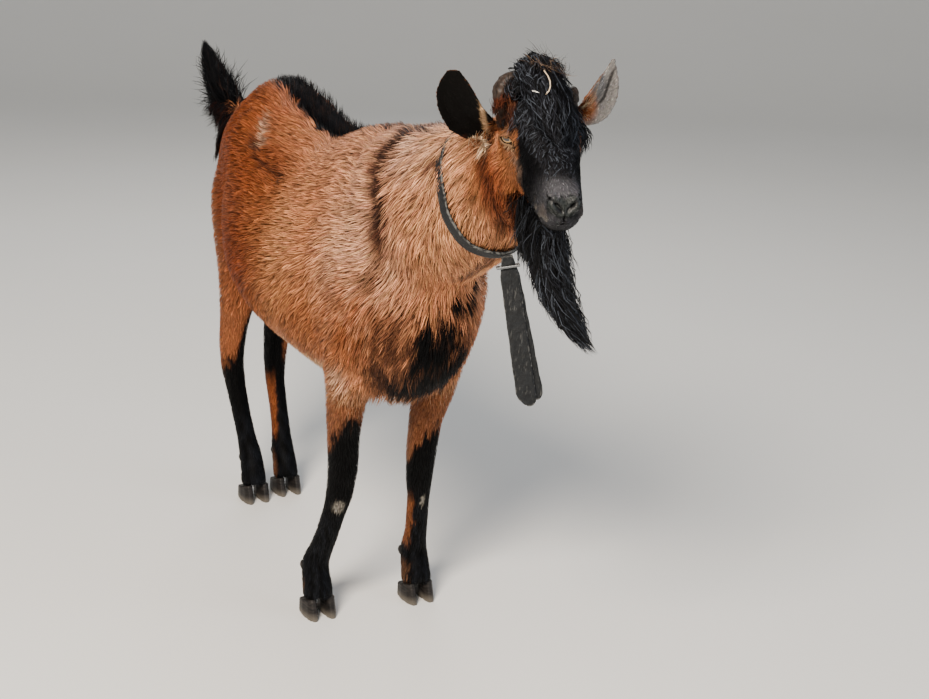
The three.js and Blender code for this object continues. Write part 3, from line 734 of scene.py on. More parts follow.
def body_paint(points, paint):
    """Trunk, neck and legs, in the drawing's frame."""
    p = ragged(points, 30, 5, 11)
    x, y, z = p.T
    m = folded(p)
    streaks = ripple(points * (1, 1, 0.35), 16, 21)
    shin_place = ragged(points, 9, 1.2, 15)
    paint.lay("#B9855A", 0.6 * in_oval(m, (-150, 250, 600), (80, 120, 110), 0.6))
    paint.lay("#8E5228", 0.5 * in_oval(m, (-130, 190, 510), (70, 190, 70), 0.6))
    paint.lay(RUST, 0.92 * in_oval(m, (-90, 560, 640), (140, 180, 190), 0.5))
    paint.lay(RUST, 0.8 * in_oval(m, (-115, 320, 700), (70, 120, 66), 0.6))
    paint.lay("#6A2A0C", 0.9 * in_oval(m, (-162, 336, 560), (66, 126, 120), 0.6))  # deep rust before the thigh
    paint.lay("#84431C", 0.5 * in_oval(m, (-146, 236, 636), (50, 66, 62), 0.7))
    paint.lay(RUST, 0.5 * in_oval(m, (-40, 440, 780), (70, 150, 50), 0.6))
    paint.lay("#B07E62", 0.7 * in_oval(m, (-40, -20, 800), (90, 200, 90), 0.6))  # greyer over the withers
    paint.lay(PALE, 0.75 * in_oval(m, (-20, -150, 830), (95, 120, 55), 0.6) * (0.75 + 0.4 * streaks))
    paint.lay("#C4977A", 0.65 * in_oval(m, (-95, -60, 640), (60, 90, 120), 0.7))
    paint.lay("#C08A63", 0.6 * in_oval(m, (-40, -250, 760), (90, 90, 130), 0.6))  # lighter neck
    paint.lay("#94512A", 0.75 * in_oval(m, (-104, -66, 542), (60, 80, 70), 0.6) * (0.85 + 0.4 * streaks))
    paint.lay("#8A4C28", 0.6 * in_oval(m, (-116, 50, 490), (50, 90, 50), 0.6) * (0.85 + 0.4 * streaks))
    paint.lay("#54301E", 0.65 * in_oval(m, (-74, -114, 530), (30, 36, 44), 0.6) * (0.8 + 0.5 * streaks))
    paint.lay("#B8977D", 0.65 * on_line(m, HIP_PATCH, 13, 0.7))  # pale hair over the hip
    # painted shade in the hollow of the flank, darkest along its crease
    paint.lay("#2A1610", 0.9 * on_line(m, HIP_CREASE, 4.5, 0.5))
    paint.lay(BROWN, 0.4 * on_line(m, HIP_CREASE, 13, 0.7))
    paint.lay("#A8734F", 0.5 * in_oval(m, (-70, 640, 500), (50, 46, 110), 0.6))  # back of the thighs
    belly = step(456, 424, z) * step(40, 90, y) * step(500, 440, y)
    paint.lay(CREAM, 0.75 * belly)
    # The stripe over the shoulder, the breast and the crest.
    paint.lay("#5A3426", 0.45 * on_line(m, SHOULDER_STRIPE, 25, 0.7))
    paint.lay("#21110E", 0.94 * on_line(m, SHOULDER_STRIPE, 16, 0.6))
    paint.lay("#33201B", 0.9 * in_oval(m, (-22, -96, 830), (26, 34, 16), 0.5))
    paint.lay(BROWN, 0.6 * on_line(m, STRIPE_FOOT, 14, 0.6))
    paint.lay("#3A231D", 0.85 * on_line(m, NAPE_SMUDGE, 10, 0.5))
    q = ragged(points * (1, 1, 0.55), 26, 9, 14) / (1, 1, 0.55)  # the breast's patch breaks up along the hair
    breast = np.maximum.reduce([
        in_oval(q, (-6, -142, 518), (38, 56, 46), 0.3),
        in_oval(q, (40, -122, 478), (46, 70, 44), 0.3),
        in_oval(q, (-8, -100, 446), (56, 70, 40), 0.35),
        on_line(q, BREAST_STREAK, 13, 0.4),
    ])
    paint.lay("#4A2C1D", 0.8 * in_oval(q, (-26, -105, 492), (100, 80, 86), 0.4) * step(-1.2, 0.3, streaks))
    paint.lay("#24140E", 0.85 * in_oval(q, (-46, -92, 458), (50, 60, 42), 0.4))
    paint.lay(BLACK, breast * (0.5 + 0.5 * step(-1.2, 0.0, streaks + 1.4 * breast - 0.6)))
    paint.lay(BLACK, crest_share(p, 3) * step(716, 690, y))
    paint.lay("#3A2A25", 0.7 * step(15, 9, np.abs(x - spine_x(y))) * (z > 640) * step(130, 40, y)
              * step(-330, -280, y))
    p = shin_place
    x, y, z = p.T
    # Forelegs: brown forearm, black from a slanting line down, with tan behind the cannons.
    ahead = step(210, 170, y)
    fore = ahead * step(440, 405, z)
    outer = np.where(x < 0, -(x + 84), x - 74)
    paint.lay("#71432A", 0.8 * fore)
    paint.lay("#C09C80", 0.6 * in_oval(p, (-104, -8, 440), (17, 20, 24), 0.6))  # pale spot on the elbow
    paint.lay("#B98F6C", 0.45 * fore * step(392, 414, z))
    top = np.where(x < 0, 372 - 1.15 * np.clip(y - 2, 0, 60) - 0.5 * np.clip(outer, 0, 30),
                   342 - 1.1 * np.clip(y - 8, 0, 60) + 0.5 * np.clip(outer, -30, 10))
    frayed = ripple(points * (1, 1, 0.45), 11, 27)
    dark = step(-7, 7, top - z + 9 * frayed) * ahead
    paint.lay(SOOT, dark)
    paint.lay(PAINTED_SHEEN, 0.75 * dark * step(230, 150, z) * step(-0.9, 0.9, frayed))  # painted sheen: lower down, the black is painted paler where it would shine
    levels = [16, 48, 84, 118, 190, 248]
    middle_x = np.where(x < 0, np.interp(z, levels, [-86, -86, -86, -81, -73, -67]),
                        np.interp(z, levels, [87, 87, 87, 83, 76, 72]))
    middle_y = np.where(x < 0, np.interp(z, levels, [100, 106, 116, 100, 72, 56]),
                        np.interp(z, levels, [92, 98, 108, 94, 75, 64]))
    frayed = 4 * ripple(points * (1, 1, 0.4), 8, 18)
    behind = np.where(x < 0, 0.5 * (middle_x - x) + (y - middle_y) - 9,
                      (middle_x - x) + 0.5 * (y - middle_y) - 5) + frayed
    paint.lay("#8A5230", 0.85 * ahead * step(0, 7, behind - 0.03 * np.maximum(180 - z, 0))
              * step(214, 180, z + frayed) * step(92, 112, z) * (x > 0))
    paint.lay("#6E4C36", 0.7 * ahead * step(3, 12, behind + 0.6 * frayed) * step(34, 46, z)
              * step(80, 58, z + frayed))
    for spot, radii in CALLUS.values():
        paint.lay("#A39C90", 0.9 * in_oval(p, spot, radii, 0.3)
                  * (0.4 + 0.6 * step(-0.4, 0.2, ripple(points, 5, 23))))
        paint.lay("#6B645B", 0.6 * in_oval(p, spot - np.array([0, 4, 8]), np.array(radii) * 0.6, 0.4))
    # Hind legs: rust outside down to the hock in a narrowing tongue, black inside and below.
    hind = step(440, 480, y)
    levels = [48, 84, 128, 208, 272, 345, 425, 510]
    middle_x = np.where(x < 14, np.interp(z, levels, [-14, -14, -20, -30, -38, -38, -40, -44]),
                        np.interp(z, levels, [56, 56, 57, 59, 60, 62, 66, 70]))
    middle_y = np.interp(z, levels, [604, 618, 634, 652, 656, 632, 604, 580]) + 12 * (x > 14)
    side = np.where(x < 14, middle_x - x, x - middle_x)  # outwards from the middle of the leg
    inner = -np.interp(z, [262, 330, 420, 470], [-6, 2, 12, 22])
    inside = step(inner + 4, inner - 4, side)
    paint.lay("#8A4620", 0.6 * hind * step(520, 440, z))
    frayed = ripple(points * (1, 1, 0.45), 13, 24)
    shin = step(280, 240, z + 13 * frayed + 0.7 * (y - middle_y))
    paint.lay(SOOT, hind * np.maximum(shin, inside * step(500, 470, z)))
    # painted sheen: the lower hind legs are painted paler where they would shine
    paint.lay(PAINTED_SHEEN, 0.7 * hind * step(200, 130, z) * step(-0.9, 0.9, frayed))
    paint.lay(SOOT, hind * step(12, 20, y - middle_y - 0.13 * np.maximum(z - 240, 0) + 3 * frayed)
              * step(360, 330, z) * step(190, 230, z))
    paint.lay("#8E4E2B", 0.88 * hind * step(1, 8, -side + 0.5 * (y - middle_y) + 3 * frayed) * step(100, 122, z)
              * step(236, 192, z + 9 * frayed) * (x > 14))
    paint.lay("#7C4E33", 0.7 * hind * step(7, 16, -side + 0.8 * (y - middle_y) + 4 * frayed) * step(34, 48, z)
              * step(90, 66, z + 6 * frayed))
    paint.lay(BLACK, step(728, 750, y + 0.6 * (z - 700)) * (y > 690))
    return paint


def head_paint(points, paint, out):
    """The head and ears, in the head's frame; out is each point's outward way there."""
    share = step(52, 18, points[:, 1]) * step(-118, -88, points[:, 2])
    p = ragged(points, 14, 2.2, 31)
    x, y, z = p.T
    m = folded(p)
    paint.lay("#7E4C2C", share * 0.85)
    paint.lay("#8E4C28", 0.9 * in_oval(m, (-46, 24, 14), (9, 20, 16), 0.4) * share)  # by the horn
    paint.lay("#70351A", 0.65 * on_line(m, [(-55, -6, -47), (-50, -20, -72), (-40, -26, -96), (-30, -14, -126)], 12,
                                        0.7))
    paint.lay("#6E3218", 0.55 * on_line(m, [(-42, -40, -44), (-34, -62, -56)], 10) * share)
    # painted shade of the crease behind the jaw, darkest along its line
    paint.lay("#5A2412", 0.7 * on_line(m, JAW_CREASE, 12, 0.6))
    paint.lay("#1E0D08", 0.95 * on_line(m, JAW_CREASE, 4.2, 0.6))
    edge = np.interp(y, [-160, -80, -50, -20, 20, 50], [-70, -52, -22, 3, 12, 20])
    width = np.interp(y, [-160, -60, -20, 20, 50], [60, 42, 36, 33, 36])
    mask = step(-5, 5, z - edge) * step(-2.5, 2.5, width - np.abs(x))
    mask = np.maximum(mask, step(-70, -92, y))
    paint.lay("#0B0B0D", mask * step(78, 50, y))
    nose_pad = in_oval(m, (-10, -152, -8), (17, 14, 15), 0.2)
    bald = step(-84, -140, points[:, 1]) * step(24, 4, np.abs(z + 14) - 16)
    paint.lay("#414145", 0.85 * bald * (1 - nose_pad))  # thin-haired muzzle
    # painted highlight: paler grey on top of the muzzle
    paint.lay("#605F64", 0.55 * bald * in_oval(m, (-10, -134, 4), (16, 22, 10), 0.7))
    paint.lay("#524B46", 0.6 * in_oval(m, (-24, -138, -22), (7, 12, 7), 0.6))
    # the nose pad is painted greenish grey, paler than its own black, as a painted sheen on the damp leather
    paint.lay("#1C201F", 0.9 * nose_pad)
    paint.lay("#6B574A", 0.7 * on_line(m, [(-48, -18, -3), (-44, -40, -10), (-40, -60, -19)], 7, 0.6))
    # pale rim of the lip
    paint.lay("#6C665E", 0.5 * on_line(m, [(-29, -113, -22), (-27, -123, -30), (-20, -142, -29)], 2.8, 0.6))
    into = np.array([1, 0.3, 1])  # painted shade: the nostrils, the groove under them and the mouth's line are near black, down to the bottom of each hollow
    paint.lay("#040405", on_line(m * into, NOSTRIL * into, 2.8, 0.5))
    paint.lay("#040405", 0.95 * on_line(m * into, LIP_GROOVE * into, 1.9, 0.5))
    # painted shade along the line of the mouth
    paint.lay("#08080A", 0.9 * on_line(m, MOUTH, 3, 0.5))
    paint.lay("#17100E", 0.92 * in_oval(m, (-49, 12, 18), (12, 13, 13), 0.35))  # the dark temple
    paint.lay("#6A3A22", 0.8 * on_line(m, [(-38, 8, 30), (-40, -6, 24), (-43, -16, 12)], 6, 0.5))
    paint.lay("#74553F", 0.7 * in_oval(m, (-46, -6, 16), (10, 15, 9), 0.6))  # greyer brow
    for side, centre in EYES.items():
        local = points - centre
        near = (np.linalg.norm(local, axis=1) < 32) * (local @ eye_axes(side)[2] > 0)
        outside, above = slit_distance(local, side)
        paint.lay("#B08A66", 0.7 * near * step(22, 10, outside) * (0.5 + 0.5 * (above < 0)))
        paint.lay("#0D0A09", near * step(6.5, 3.5, outside - 3 * (above > 0)))
    # below the tear duct
    paint.lay("#0D0A09", 0.85 * on_line(m, [(-39, -16, 1), (-40, -22, -3), (-39, -28, -8)], 1.8, 0.5))
    # The ears: dark hollow, orange base with a cream line.
    ear = is_ear(points)
    right = x < 0
    inside = step(0.05, 0.35, -out[:, 1])
    paint.lay("#5C3B28", 0.9 * ear)
    paint.lay("#0B0908", ear * inside * right)
    paint.lay("#807D7A", 0.95 * ear * inside * (~right))
    paint.lay("#A7A29C", 0.7 * on_line(points, [(58, 40, 20), (84, 60, 34), (98, 84, 46)], 3.5) * inside * (~right))
    paint.lay("#1A1614", 0.8 * on_line(points, [(64, 38, 6), (90, 62, 20), (106, 92, 46)], 2.2) * ear)
    paint.lay("#C9A27C", 0.9 * on_line(points, [(-58, 34, -13), (-64, 33, -9), (-70, 25, 7), (-78, 7, 33),
                                                (-80, 5, 42)], 3.4, 0.7) * right)
    paint.lay("#D9B896", 0.97 * in_oval(points, (-75, 30, -31), (15, 14, 10), 0.3))
    paint.lay("#2E170F", 0.85 * on_line(points, [(-92, 30, -20), (-82, 31, -42), (-66, 32, -46)], 3.4, 0.6))
    paint.lay("#B06A38", 0.85 * in_oval(points, (60, 44, 18), (18, 20, 20), 0.4) * ear)
    paint.lay("#B99A7A", 0.6 * on_line(points, [(58, 40, 2), (72, 50, 24), (80, 60, 46)], 2.6) * ear)
    return paint


def coat_colour(points, out):
    """The goat's colour at each point of the drawing, linear RGB."""
    paint = Paint(len(points), CHAMOIS)
    body_paint(points, paint)
    on_head = to_head(points)
    near = (points[:, 1] < -300) & (points[:, 2] > 640)
    if near.any():
        part = Paint(near.sum(), CHAMOIS)
        part.colour = paint.colour[near]
        head_paint(on_head[near], part, out[near] @ HEAD)
        paint.colour[near] = part.colour
    return paint.colour


points, out = vector_data(skin_mesh, "points"), vector_data(skin_mesh, "normals")
skin_colour = coat_colour(points, out)
print("painted", len(points), "points; mean", skin_colour.mean(axis=0).round(3))

# %% [markdown]
# Hide is seen only between the hairs, so its material is soft and slightly uneven: the painted
# colour, darkened a little because the hair shades it, with a fine bump of short hair about a
# millimetre across, drawn coarser than life so that it shows.

# %% Hide
def paint_mesh(mesh, colours):
    layer = mesh.attributes.new("tint", "FLOAT_COLOR", "POINT")
    layer.data.foreach_set("color", np.column_stack([colours, np.ones(len(colours))]).astype(np.float32).ravel())


def short_haired_hide():
    material, tree = new_material("short_haired_hide")
    tint = add(tree, "Attribute", attribute_name="tint")
    place = add(tree, "TexCoord")
    mottle = noise(tree, place, 260.0, 4.0)
    tone = remap(tree, mottle.outputs["Fac"], 0.3, 0.7, 0.4, 0.75)
    shade = add(tree, "VectorMath", links={0: tint.outputs["Color"], 1: tone}, operation="MULTIPLY")
    nap = noise(tree, place, 900.0, 3.0)
    bump = add(tree, "Bump", {"Strength": 0.5, "Distance": 0.0006}, {"Height": nap.outputs["Fac"]})
    return finished(material, {"Roughness": 0.6, "Specular IOR Level": 0.05},
                    {"Base Color": shade.outputs["Vector"], "Normal": bump.outputs["Normal"]})


def damp_nose_leather():
    """The bare pad between the nostrils: black, pebbled about a millimetre across, and damp."""
    material, tree = new_material("damp_nose_leather")
    tint = add(tree, "Attribute", attribute_name="tint")
    place = add(tree, "TexCoord")
    pebbles = add(tree, "TexVoronoi", {"Scale": 820.0}, {"Vector": place.outputs["Object"]})
    bump = add(tree, "Bump", {"Strength": 0.45, "Distance": 0.0004}, {"Height": pebbles.outputs["Distance"]})
    rough = remap(tree, pebbles.outputs["Distance"], 0.0, 1.0, 0.4, 0.58)
    return finished(material, {"Specular IOR Level": 0.36},
                    {"Base Color": tint.outputs["Color"], "Roughness": rough, "Normal": bump.outputs["Normal"]})


def placed(name, mesh, material):
    """A finished piece of the goat, riding on its one body."""
    piece = new_object(name, mesh)
    mesh.materials.clear()
    mesh.materials.append(material)
    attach(piece, "root")
    return piece


def shell_piece(name, shell, material):
    return placed(name, new_mesh(name, shell.points, shell.quads), material)


paint_mesh(skin_mesh, skin_colour)
goat_skin = placed("goat_skin", skin_mesh, short_haired_hide())
skin_mesh.materials.append(damp_nose_leather())
bare_nose = in_oval(folded(to_head(points)), (-9, -152, -8), (16, 13, 14), 0.1) > 0.5
skin_mesh.polygons.foreach_set("material_index", [int(all(bare_nose[v] for v in face.vertices))
                                                  for face in skin_mesh.polygons])
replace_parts(goat_skin, *body_nodes, *[name for name in head_nodes if name != "neck"])
print("skin in place")

# %% [markdown]
# The coat is made of small solid locks: three-sided tapering tubes about a millimetre across,
# each from a root on the skin to a tip that lies along the body. Particle hair would be quicker
# to comb, but it doesn't survive export as a mesh. The locks are laid out by arrays of numbers:
# roots scattered evenly, a combing direction at each, and then a path that follows the skin.

# %% Scatter the roots
SPACING = {"trunk": 4.5, "leg": 3.85, "face": 2.75, "muzzle": 3.0, "ear": 3.0}  # millimetres
KINDS = list(SPACING)
GATHER = np.array([0.42, 0.12, 0.3, 0.2, 0.2])  # for each kind, how far locks lean together
BUNDLED = np.array([1.0, 0.4, 0.7, 0.5, 0.5])  # and how strongly those that do share a tone


def kind_of(points):
    """Which kind of coat grows at each point, as a place in KINDS."""
    hx, hy, hz = on_head = to_head(points).T
    kind = np.zeros(len(points), int)
    kind[(points[:, 2] < 380)] = KINDS.index("leg")
    face = (hy < 40) & (hz > -110) & (points[:, 1] < -340)
    kind[face] = KINDS.index("face")
    kind[face & (hy < -105)] = KINDS.index("muzzle")
    kind[(is_ear(on_head.T) > 0.5) & (points[:, 1] < -300) & (points[:, 2] > 800)] = KINDS.index("ear")
    return kind


def scattered(spacing_at, seed, where=None, per_mm2=0.42):
    """Evenly spread roots: many random points, of which each small cell of space keeps one."""
    draw = np.random.default_rng(seed)
    a, b, c = (points[corner[:, i]] for i in range(3))
    area = np.linalg.norm(np.cross(b - a, c - a), axis=1) / 2
    if where is not None:
        area = area * (where((a + b + c) / 3) > 0.5)
    pick = np.searchsorted(np.cumsum(area) / area.sum(), draw.random(int(area.sum() * per_mm2)))
    u, v = draw.random((2, len(pick)))
    flip = u + v > 1
    u[flip], v[flip] = 1 - u[flip], 1 - v[flip]
    at = a[pick] + u[:, None] * (b - a)[pick] + v[:, None] * (c - a)[pick]
    size = spacing_at(at)
    wide = 4 * CELLS  # these cells are small, so there are more of them
    cell = np.floor(at / size[:, None]).astype(np.int64) + wide // 2
    key = ((np.round(size * 10).astype(np.int64) * wide + cell[:, 0]) * wide + cell[:, 1]) * wide + cell[:, 2]
    keep = np.unique(key, return_index=True)[1]
    keep = keep[draw.permutation(len(keep))]
    weight = np.stack([1 - u - v, u, v], axis=1)[keep]
    way = unit(np.cross(b - a, c - a)[pick[keep]])
    return at[keep], way, pick[keep], weight


def coat_spacing(at):
    return np.array(list(SPACING.values()))[kind_of(at)]


roots, root_out, root_triangle, root_weight = scattered(coat_spacing, 5)
root_kind = kind_of(roots)
print("roots", len(roots), {name: int((root_kind == i).sum()) for i, name in enumerate(KINDS)})

# %% Which way the coat lies
EAR_LINES = {-1: ((-50, 38, -10), (-117, 18, 80)), 1: ((46, 34, 2), (106, 98, 56))}


def combed(ways, at, out):
    """Ways laid flat on the skin, and turned a little here and there."""
    ways = unit(ways - out * (ways * out).sum(axis=1, keepdims=True))
    # legs are sleek
    turn = (0.30 * ripple(at, 90, 51) + 0.22 * ripple(at, 22, 52)) * np.interp(at[:, 2], [330, 420], [0.35, 1])
    return ways * np.cos(turn)[:, None] + np.cross(out, ways) * np.sin(turn)[:, None]


def lie_of_coat(at, out):
    """Back along the spine, down over the sides and legs, down the nose, out along the ears."""
    on_head = to_head(at)
    hx, hy, hz = on_head.T
    low = step(0.45, -0.35, out[:, 2]) * step(770, 560, at[:, 2])  # 0 on the back, 1 low on the side
    ways = np.stack([np.zeros(len(at)), 1.0 - 0.5 * low, -0.25 - 0.65 * low], axis=1)
    front_share = step(-60, -200, at[:, 1])[:, None]
    ways = ways * (1 - front_share) + np.array([0.0, 0.22, -1.0]) * front_share
    leg = step(420, 330, at[:, 2])[:, None]
    ways = ways * (1 - leg) + np.array([0, 0.12, -1.0]) * leg
    tail = step(735, 760, at[:, 1])[:, None]
    ways = ways * (1 - tail) + np.array([0, 0.75, 0.62]) * tail
    front = (step(60, 25, hy) * step(-120, -100, hz) * (at[:, 1] < -330))[:, None]
    nose = np.stack([0.022 * hx, np.full(len(at), -0.9), np.full(len(at), -0.25)], axis=1)
    cheek = np.tile([0.0, -0.15, -0.97], (len(at), 1))
    side = (step(22, 38, np.abs(hx)) * step(-90, -40, hy))[:, None]
    face = nose * (1 - side) + cheek * side
    for sign, (base, tip) in EAR_LINES.items():
        share = (is_ear(on_head) * (np.sign(hx) == sign))[:, None]
        face = face * (1 - share) + unit(np.subtract(tip, base)) * share
        front = np.maximum(front, share)
    ways = ways * (1 - front) + (face @ HEAD.T) * front
    return combed(ways, at, out)


root_lie = lie_of_coat(roots, root_out)
print("combed", len(roots), "roots")

# %% [markdown]
# Each lock is one of many like pieces. The path steps from the root along the comb, drops onto
# the skin again at each step, and rises from it, so it hugs the body even round a shin. Locks
# near each other lean to the same point, as damp or oily hair does, which breaks the coat up.

# %% Grow locks along the skin
RISE = {2: (0.0, 0.66, 1.0), 5: (0.0, 0.4, 0.7, 0.88, 0.97, 1.0)}  # height at each ring, as a share


def grown(root, out, lie, length, height, rings, seed, gather=0.45, clump=13.0, wander=0.0):
    """Ring centres and outward ways of locks; wander turns the way at each ring."""
    draw = np.random.default_rng(seed)
    spine, outs = [root - 0.5 * out], [out]
    at, way = root, lie
    travel = np.sqrt(np.maximum(length ** 2 - height ** 2, (0.3 * length) ** 2)) / rings
    for ring in range(1, rings + 1):
        at, out = on_skin(at + way * travel[:, None])
        spine.append(at + out * (height * RISE[rings][ring])[:, None])
        outs.append(out)
        way = unit(way - out * (way * out).sum(axis=1, keepdims=True))
        if wander:
            turn = wander * (ripple(at, 11, seed + ring)[:, None] + 0.4 * draw.normal(size=(len(at), 1)))
            way = unit(way + turn * np.cross(out, way))
    first = np.unique(space_cells(root, clump), return_index=True)[1]
    tree = KDTree(len(first))
    for i, j in enumerate(first):
        tree.insert(root[j], i)
    tree.balance()
    lead = first[np.array([tree.find(p)[1] for p in root])]
    pull = (gather * draw.uniform(0.2, 1.0, len(root)))[:, None]
    for ring in range(1, rings + 1):
        share = pull * (ring / rings) ** 1.5
        spine[ring] = spine[ring] * (1 - share) + spine[ring][lead] * share
    return spine, outs, lead


# %% Locks as meshes
PATCH = 0.003  # how wide each lock's patch of the bake map is


def lock_mesh(name, spine, outs, width, tint, banding_and_shade, uv, seed, thick=0.45):
    """One mesh of tapering three-sided locks, from ring centres, outward ways and widths."""
    draw = np.random.default_rng(seed)
    count, rings = len(spine[0]), len(spine) - 1
    roll = draw.uniform(-0.6, 0.6, count)[:, None]
    rows, normals = [], []
    for ring in range(rings):
        along = unit(spine[ring + 1] - spine[max(ring - 1, 0)])
        out = unit(outs[ring] - along * (outs[ring] * along).sum(axis=1, keepdims=True))
        side = np.cross(along, out)
        side, out = side * np.cos(roll) + out * np.sin(roll), out * np.cos(roll) - side * np.sin(roll)
        half = (width * (1, 0.95, 0.75)[min(ring, 2)] / 2)[:, None]
        for across, up in ((-1, 0), (1, 0), (0, 2 * thick)):
            rows.append(spine[ring] + side * half * across + out * half * up)
            normals.append(unit(outs[ring] + 0.55 * side * across + 0.25 * out * up + 0.15 * along))
    rows.append(spine[-1])
    normals.append(unit(outs[-1] + 0.3 * along))
    per = 3 * rings + 1
    at = np.stack(rows, axis=1).reshape(-1, 3)
    normals = np.stack(normals, axis=1).reshape(-1, 3)
    faces = [(0, 1, 2)]
    for ring in range(rings - 1):
        k = 3 * ring
        for i, j in ((1, 0), (2, 1), (0, 2)):
            faces += [(k + i, k + j, k + 3 + j), (k + i, k + 3 + j, k + 3 + i)]
    k = 3 * (rings - 1)
    faces += [(k + i, k + j, per - 1) for i, j in ((1, 0), (2, 1), (0, 2))]
    faces = (np.array(faces)[None] + per * np.arange(count)[:, None, None]).reshape(-1, 3)
    mesh = new_mesh(name, at, faces)
    share = np.array([min(i // 3, rings) for i in range(per)]) / rings
    # painted shade and light: each lock's tint runs from dark at the root to pale at the tip, partly the hair's own
    # banding and partly painted shade deep in the coat and painted light on the tips
    light = np.interp(share, (0, 0.5, 1), banding_and_shade)
    paint_mesh(mesh, (tint[:, None, :] * light[None, :, None]).reshape(-1, 3))
    across = np.array([i % 3 for i in range(per)]) / 2
    patch = np.stack([share, across], axis=1) * PATCH
    spot = (uv[:, None, :] + patch[None]).reshape(-1, 2)
    layer = mesh.uv_layers.new(name="OFBake")
    layer.data.foreach_set("uv", spot[faces.ravel()].astype(np.float32).ravel())
    mesh.normals_split_custom_set_from_vertices(normals)
    return mesh


def coat_hair(name, roughness, gloss, sheen):
    """Goat hair is solid and glossy along its length; a mass of it looks softer than one hair."""
    material, tree = new_material(name)
    tint = add(tree, "Attribute", attribute_name="tint")
    place = add(tree, "TexCoord")
    streak = noise(tree, place, 420.0, 2.0)
    tone = remap(tree, streak.outputs["Fac"], 0.3, 0.7, 0.78, 1.2)
    shade = add(tree, "VectorMath", links={0: tint.outputs["Color"], 1: tone}, operation="MULTIPLY")
    return finished(material, {"Roughness": roughness, "Specular IOR Level": gloss, "Sheen Weight": sheen,
                               "Sheen Roughness": 0.5},
                    {"Base Color": shade.outputs["Vector"]})


soft_coat = coat_hair("short_goat_hair", 0.45, 0.06, 0.0)
sleek_coat = coat_hair("sleek_leg_hair", 0.42, 0.08, 0.0)  # the legs' hair lies flat, so it shines
print("coat material:", soft_coat.name)

# %% Unwrap the skin for the locks' bake map
def unwrapped(mesh):
    """The unwrap of the skin's own shape, as a place for each corner of its triangles."""
    work = new_object("work", mesh.copy())
    for other in bpy.context.selected_objects:
        other.select_set(False)
    bpy.context.view_layer.objects.active = work
    work.select_set(True)
    bpy.ops.object.mode_set(mode="EDIT")
    bpy.ops.mesh.select_all(action="SELECT")
    bpy.ops.uv.smart_project(angle_limit=math.radians(60), island_margin=0.002)
    bpy.ops.object.mode_set(mode="OBJECT")
    flat = np.empty(len(work.data.loops) * 2)
    work.data.uv_layers[-1].data.foreach_get("uv", flat)
    loops = np.empty(len(mesh.loop_triangles) * 3, np.int32)
    mesh.loop_triangles.foreach_get("loops", loops)
    bpy.data.objects.remove(work)
    return flat.reshape(-1, 2)[loops].reshape(-1, 3, 2)


unwrap = unwrapped(skin_mesh)


def uv_of(triangle, weight):
    return (unwrap[triangle] * weight[:, :, None]).sum(axis=1)


root_uv = uv_of(root_triangle, root_weight)
print("unwrap spans", unwrap.reshape(-1, 2).min(axis=0).round(3), unwrap.reshape(-1, 2).max(axis=0).round(3))

# %% The whole short coat
draw = np.random.default_rng(17)
EYE_BARE, NOSTRIL_BARE, HOOF_TOP = 22, 4.5, 34  # no short hair this near to the eye, nostril or floor
bare = roots[:, 2] < HOOF_TOP
root_head = to_head(roots)
for side, centre in EYES.items():
    local = root_head - centre
    bare |= (slit_distance(local, side)[0] < 5) & (np.linalg.norm(local, axis=1) < EYE_BARE)
nostril = off_line(folded(root_head), NOSTRIL)
bare |= (nostril < NOSTRIL_BARE) & (roots[:, 1] < -400)
grow = np.flatnonzero(~bare)
root, out, lie, kind, uv = roots[grow], root_out[grow], root_lie[grow], root_kind[grow], root_uv[grow]
height = coat_depth(root) * draw.uniform(0.75, 1.12, len(root))
length = np.minimum(3.0 + 2.1 * coat_depth(root), 27) * draw.uniform(0.7, 1.25, len(root))
on_leg = kind == KINDS.index("leg")
length = np.where(on_leg, 9.0 * draw.uniform(0.8, 1.2, len(root)), length)
height = np.minimum(height, 0.75 * length) * np.where(on_leg, 0.75, 1.0)
width = (0.73 + 0.0225 * length) * draw.uniform(0.8, 1.25, len(root))
spine, outs, lead = grown(root, out, lie, length, height, 2, 3, gather=GATHER[kind], clump=9.5)
tint = coat_colour(root, out)
# locks that lie together share a tone
bundle = np.exp(draw.normal(-0.03, 1, len(root)) * 0.22)[lead] ** BUNDLED[kind]
tint = tint * bundle[:, None] * draw.normal(1, 0.3, (len(root), 1)).clip(0.35, 1.9)
tint = tint * (1 + 0.04 * draw.normal(size=(len(root), 3)))
print("locks grown:", len(root), "longest", round(length.max(), 1), "mm")

# %% Coat pieces
MOST = 19000  # locks in one piece: each has ten triangles, and a piece stays under 200,000
order = np.argsort(root[:, 1], kind="stable")
REGIONS = {"coat_face": ("face", "muzzle"), "coat_ears": ("ear",), "coat_legs": ("leg",), "coat_trunk": ("trunk",)}
for name, kinds in REGIONS.items():
    mine = np.isin(kind, [KINDS.index(one) for one in kinds])
    index = order[mine[order]]
    for part in range(math.ceil(len(index) / MOST)):
        take = index[part * MOST:(part + 1) * MOST]
        # the three factors run from painted shade at the root to painted light at the tip
        mesh = lock_mesh(f"{name}_{part + 1}", [row[take] for row in spine], [row[take] for row in outs], width[take],
                         tint[take], (0.42, 0.95, 1.3), uv[take], 90 + part)
        placed(mesh.name, mesh, sleek_coat if name == "coat_legs" else soft_coat)
        print(mesh.name, len(mesh.polygons), "triangles")

# %% [markdown]
# A goat's eye has an amber iris with a wide, level pupil. A real eye is a ball with a clearer
# bulge, the cornea, over the iris. Here the ball is a fine mesh of rings round its outward way,
# with the bulge shaped in, and the material paints iris and pupil from each point's own place on
# the ball. A coat layer on the shader gives the wet film its sharp highlight.

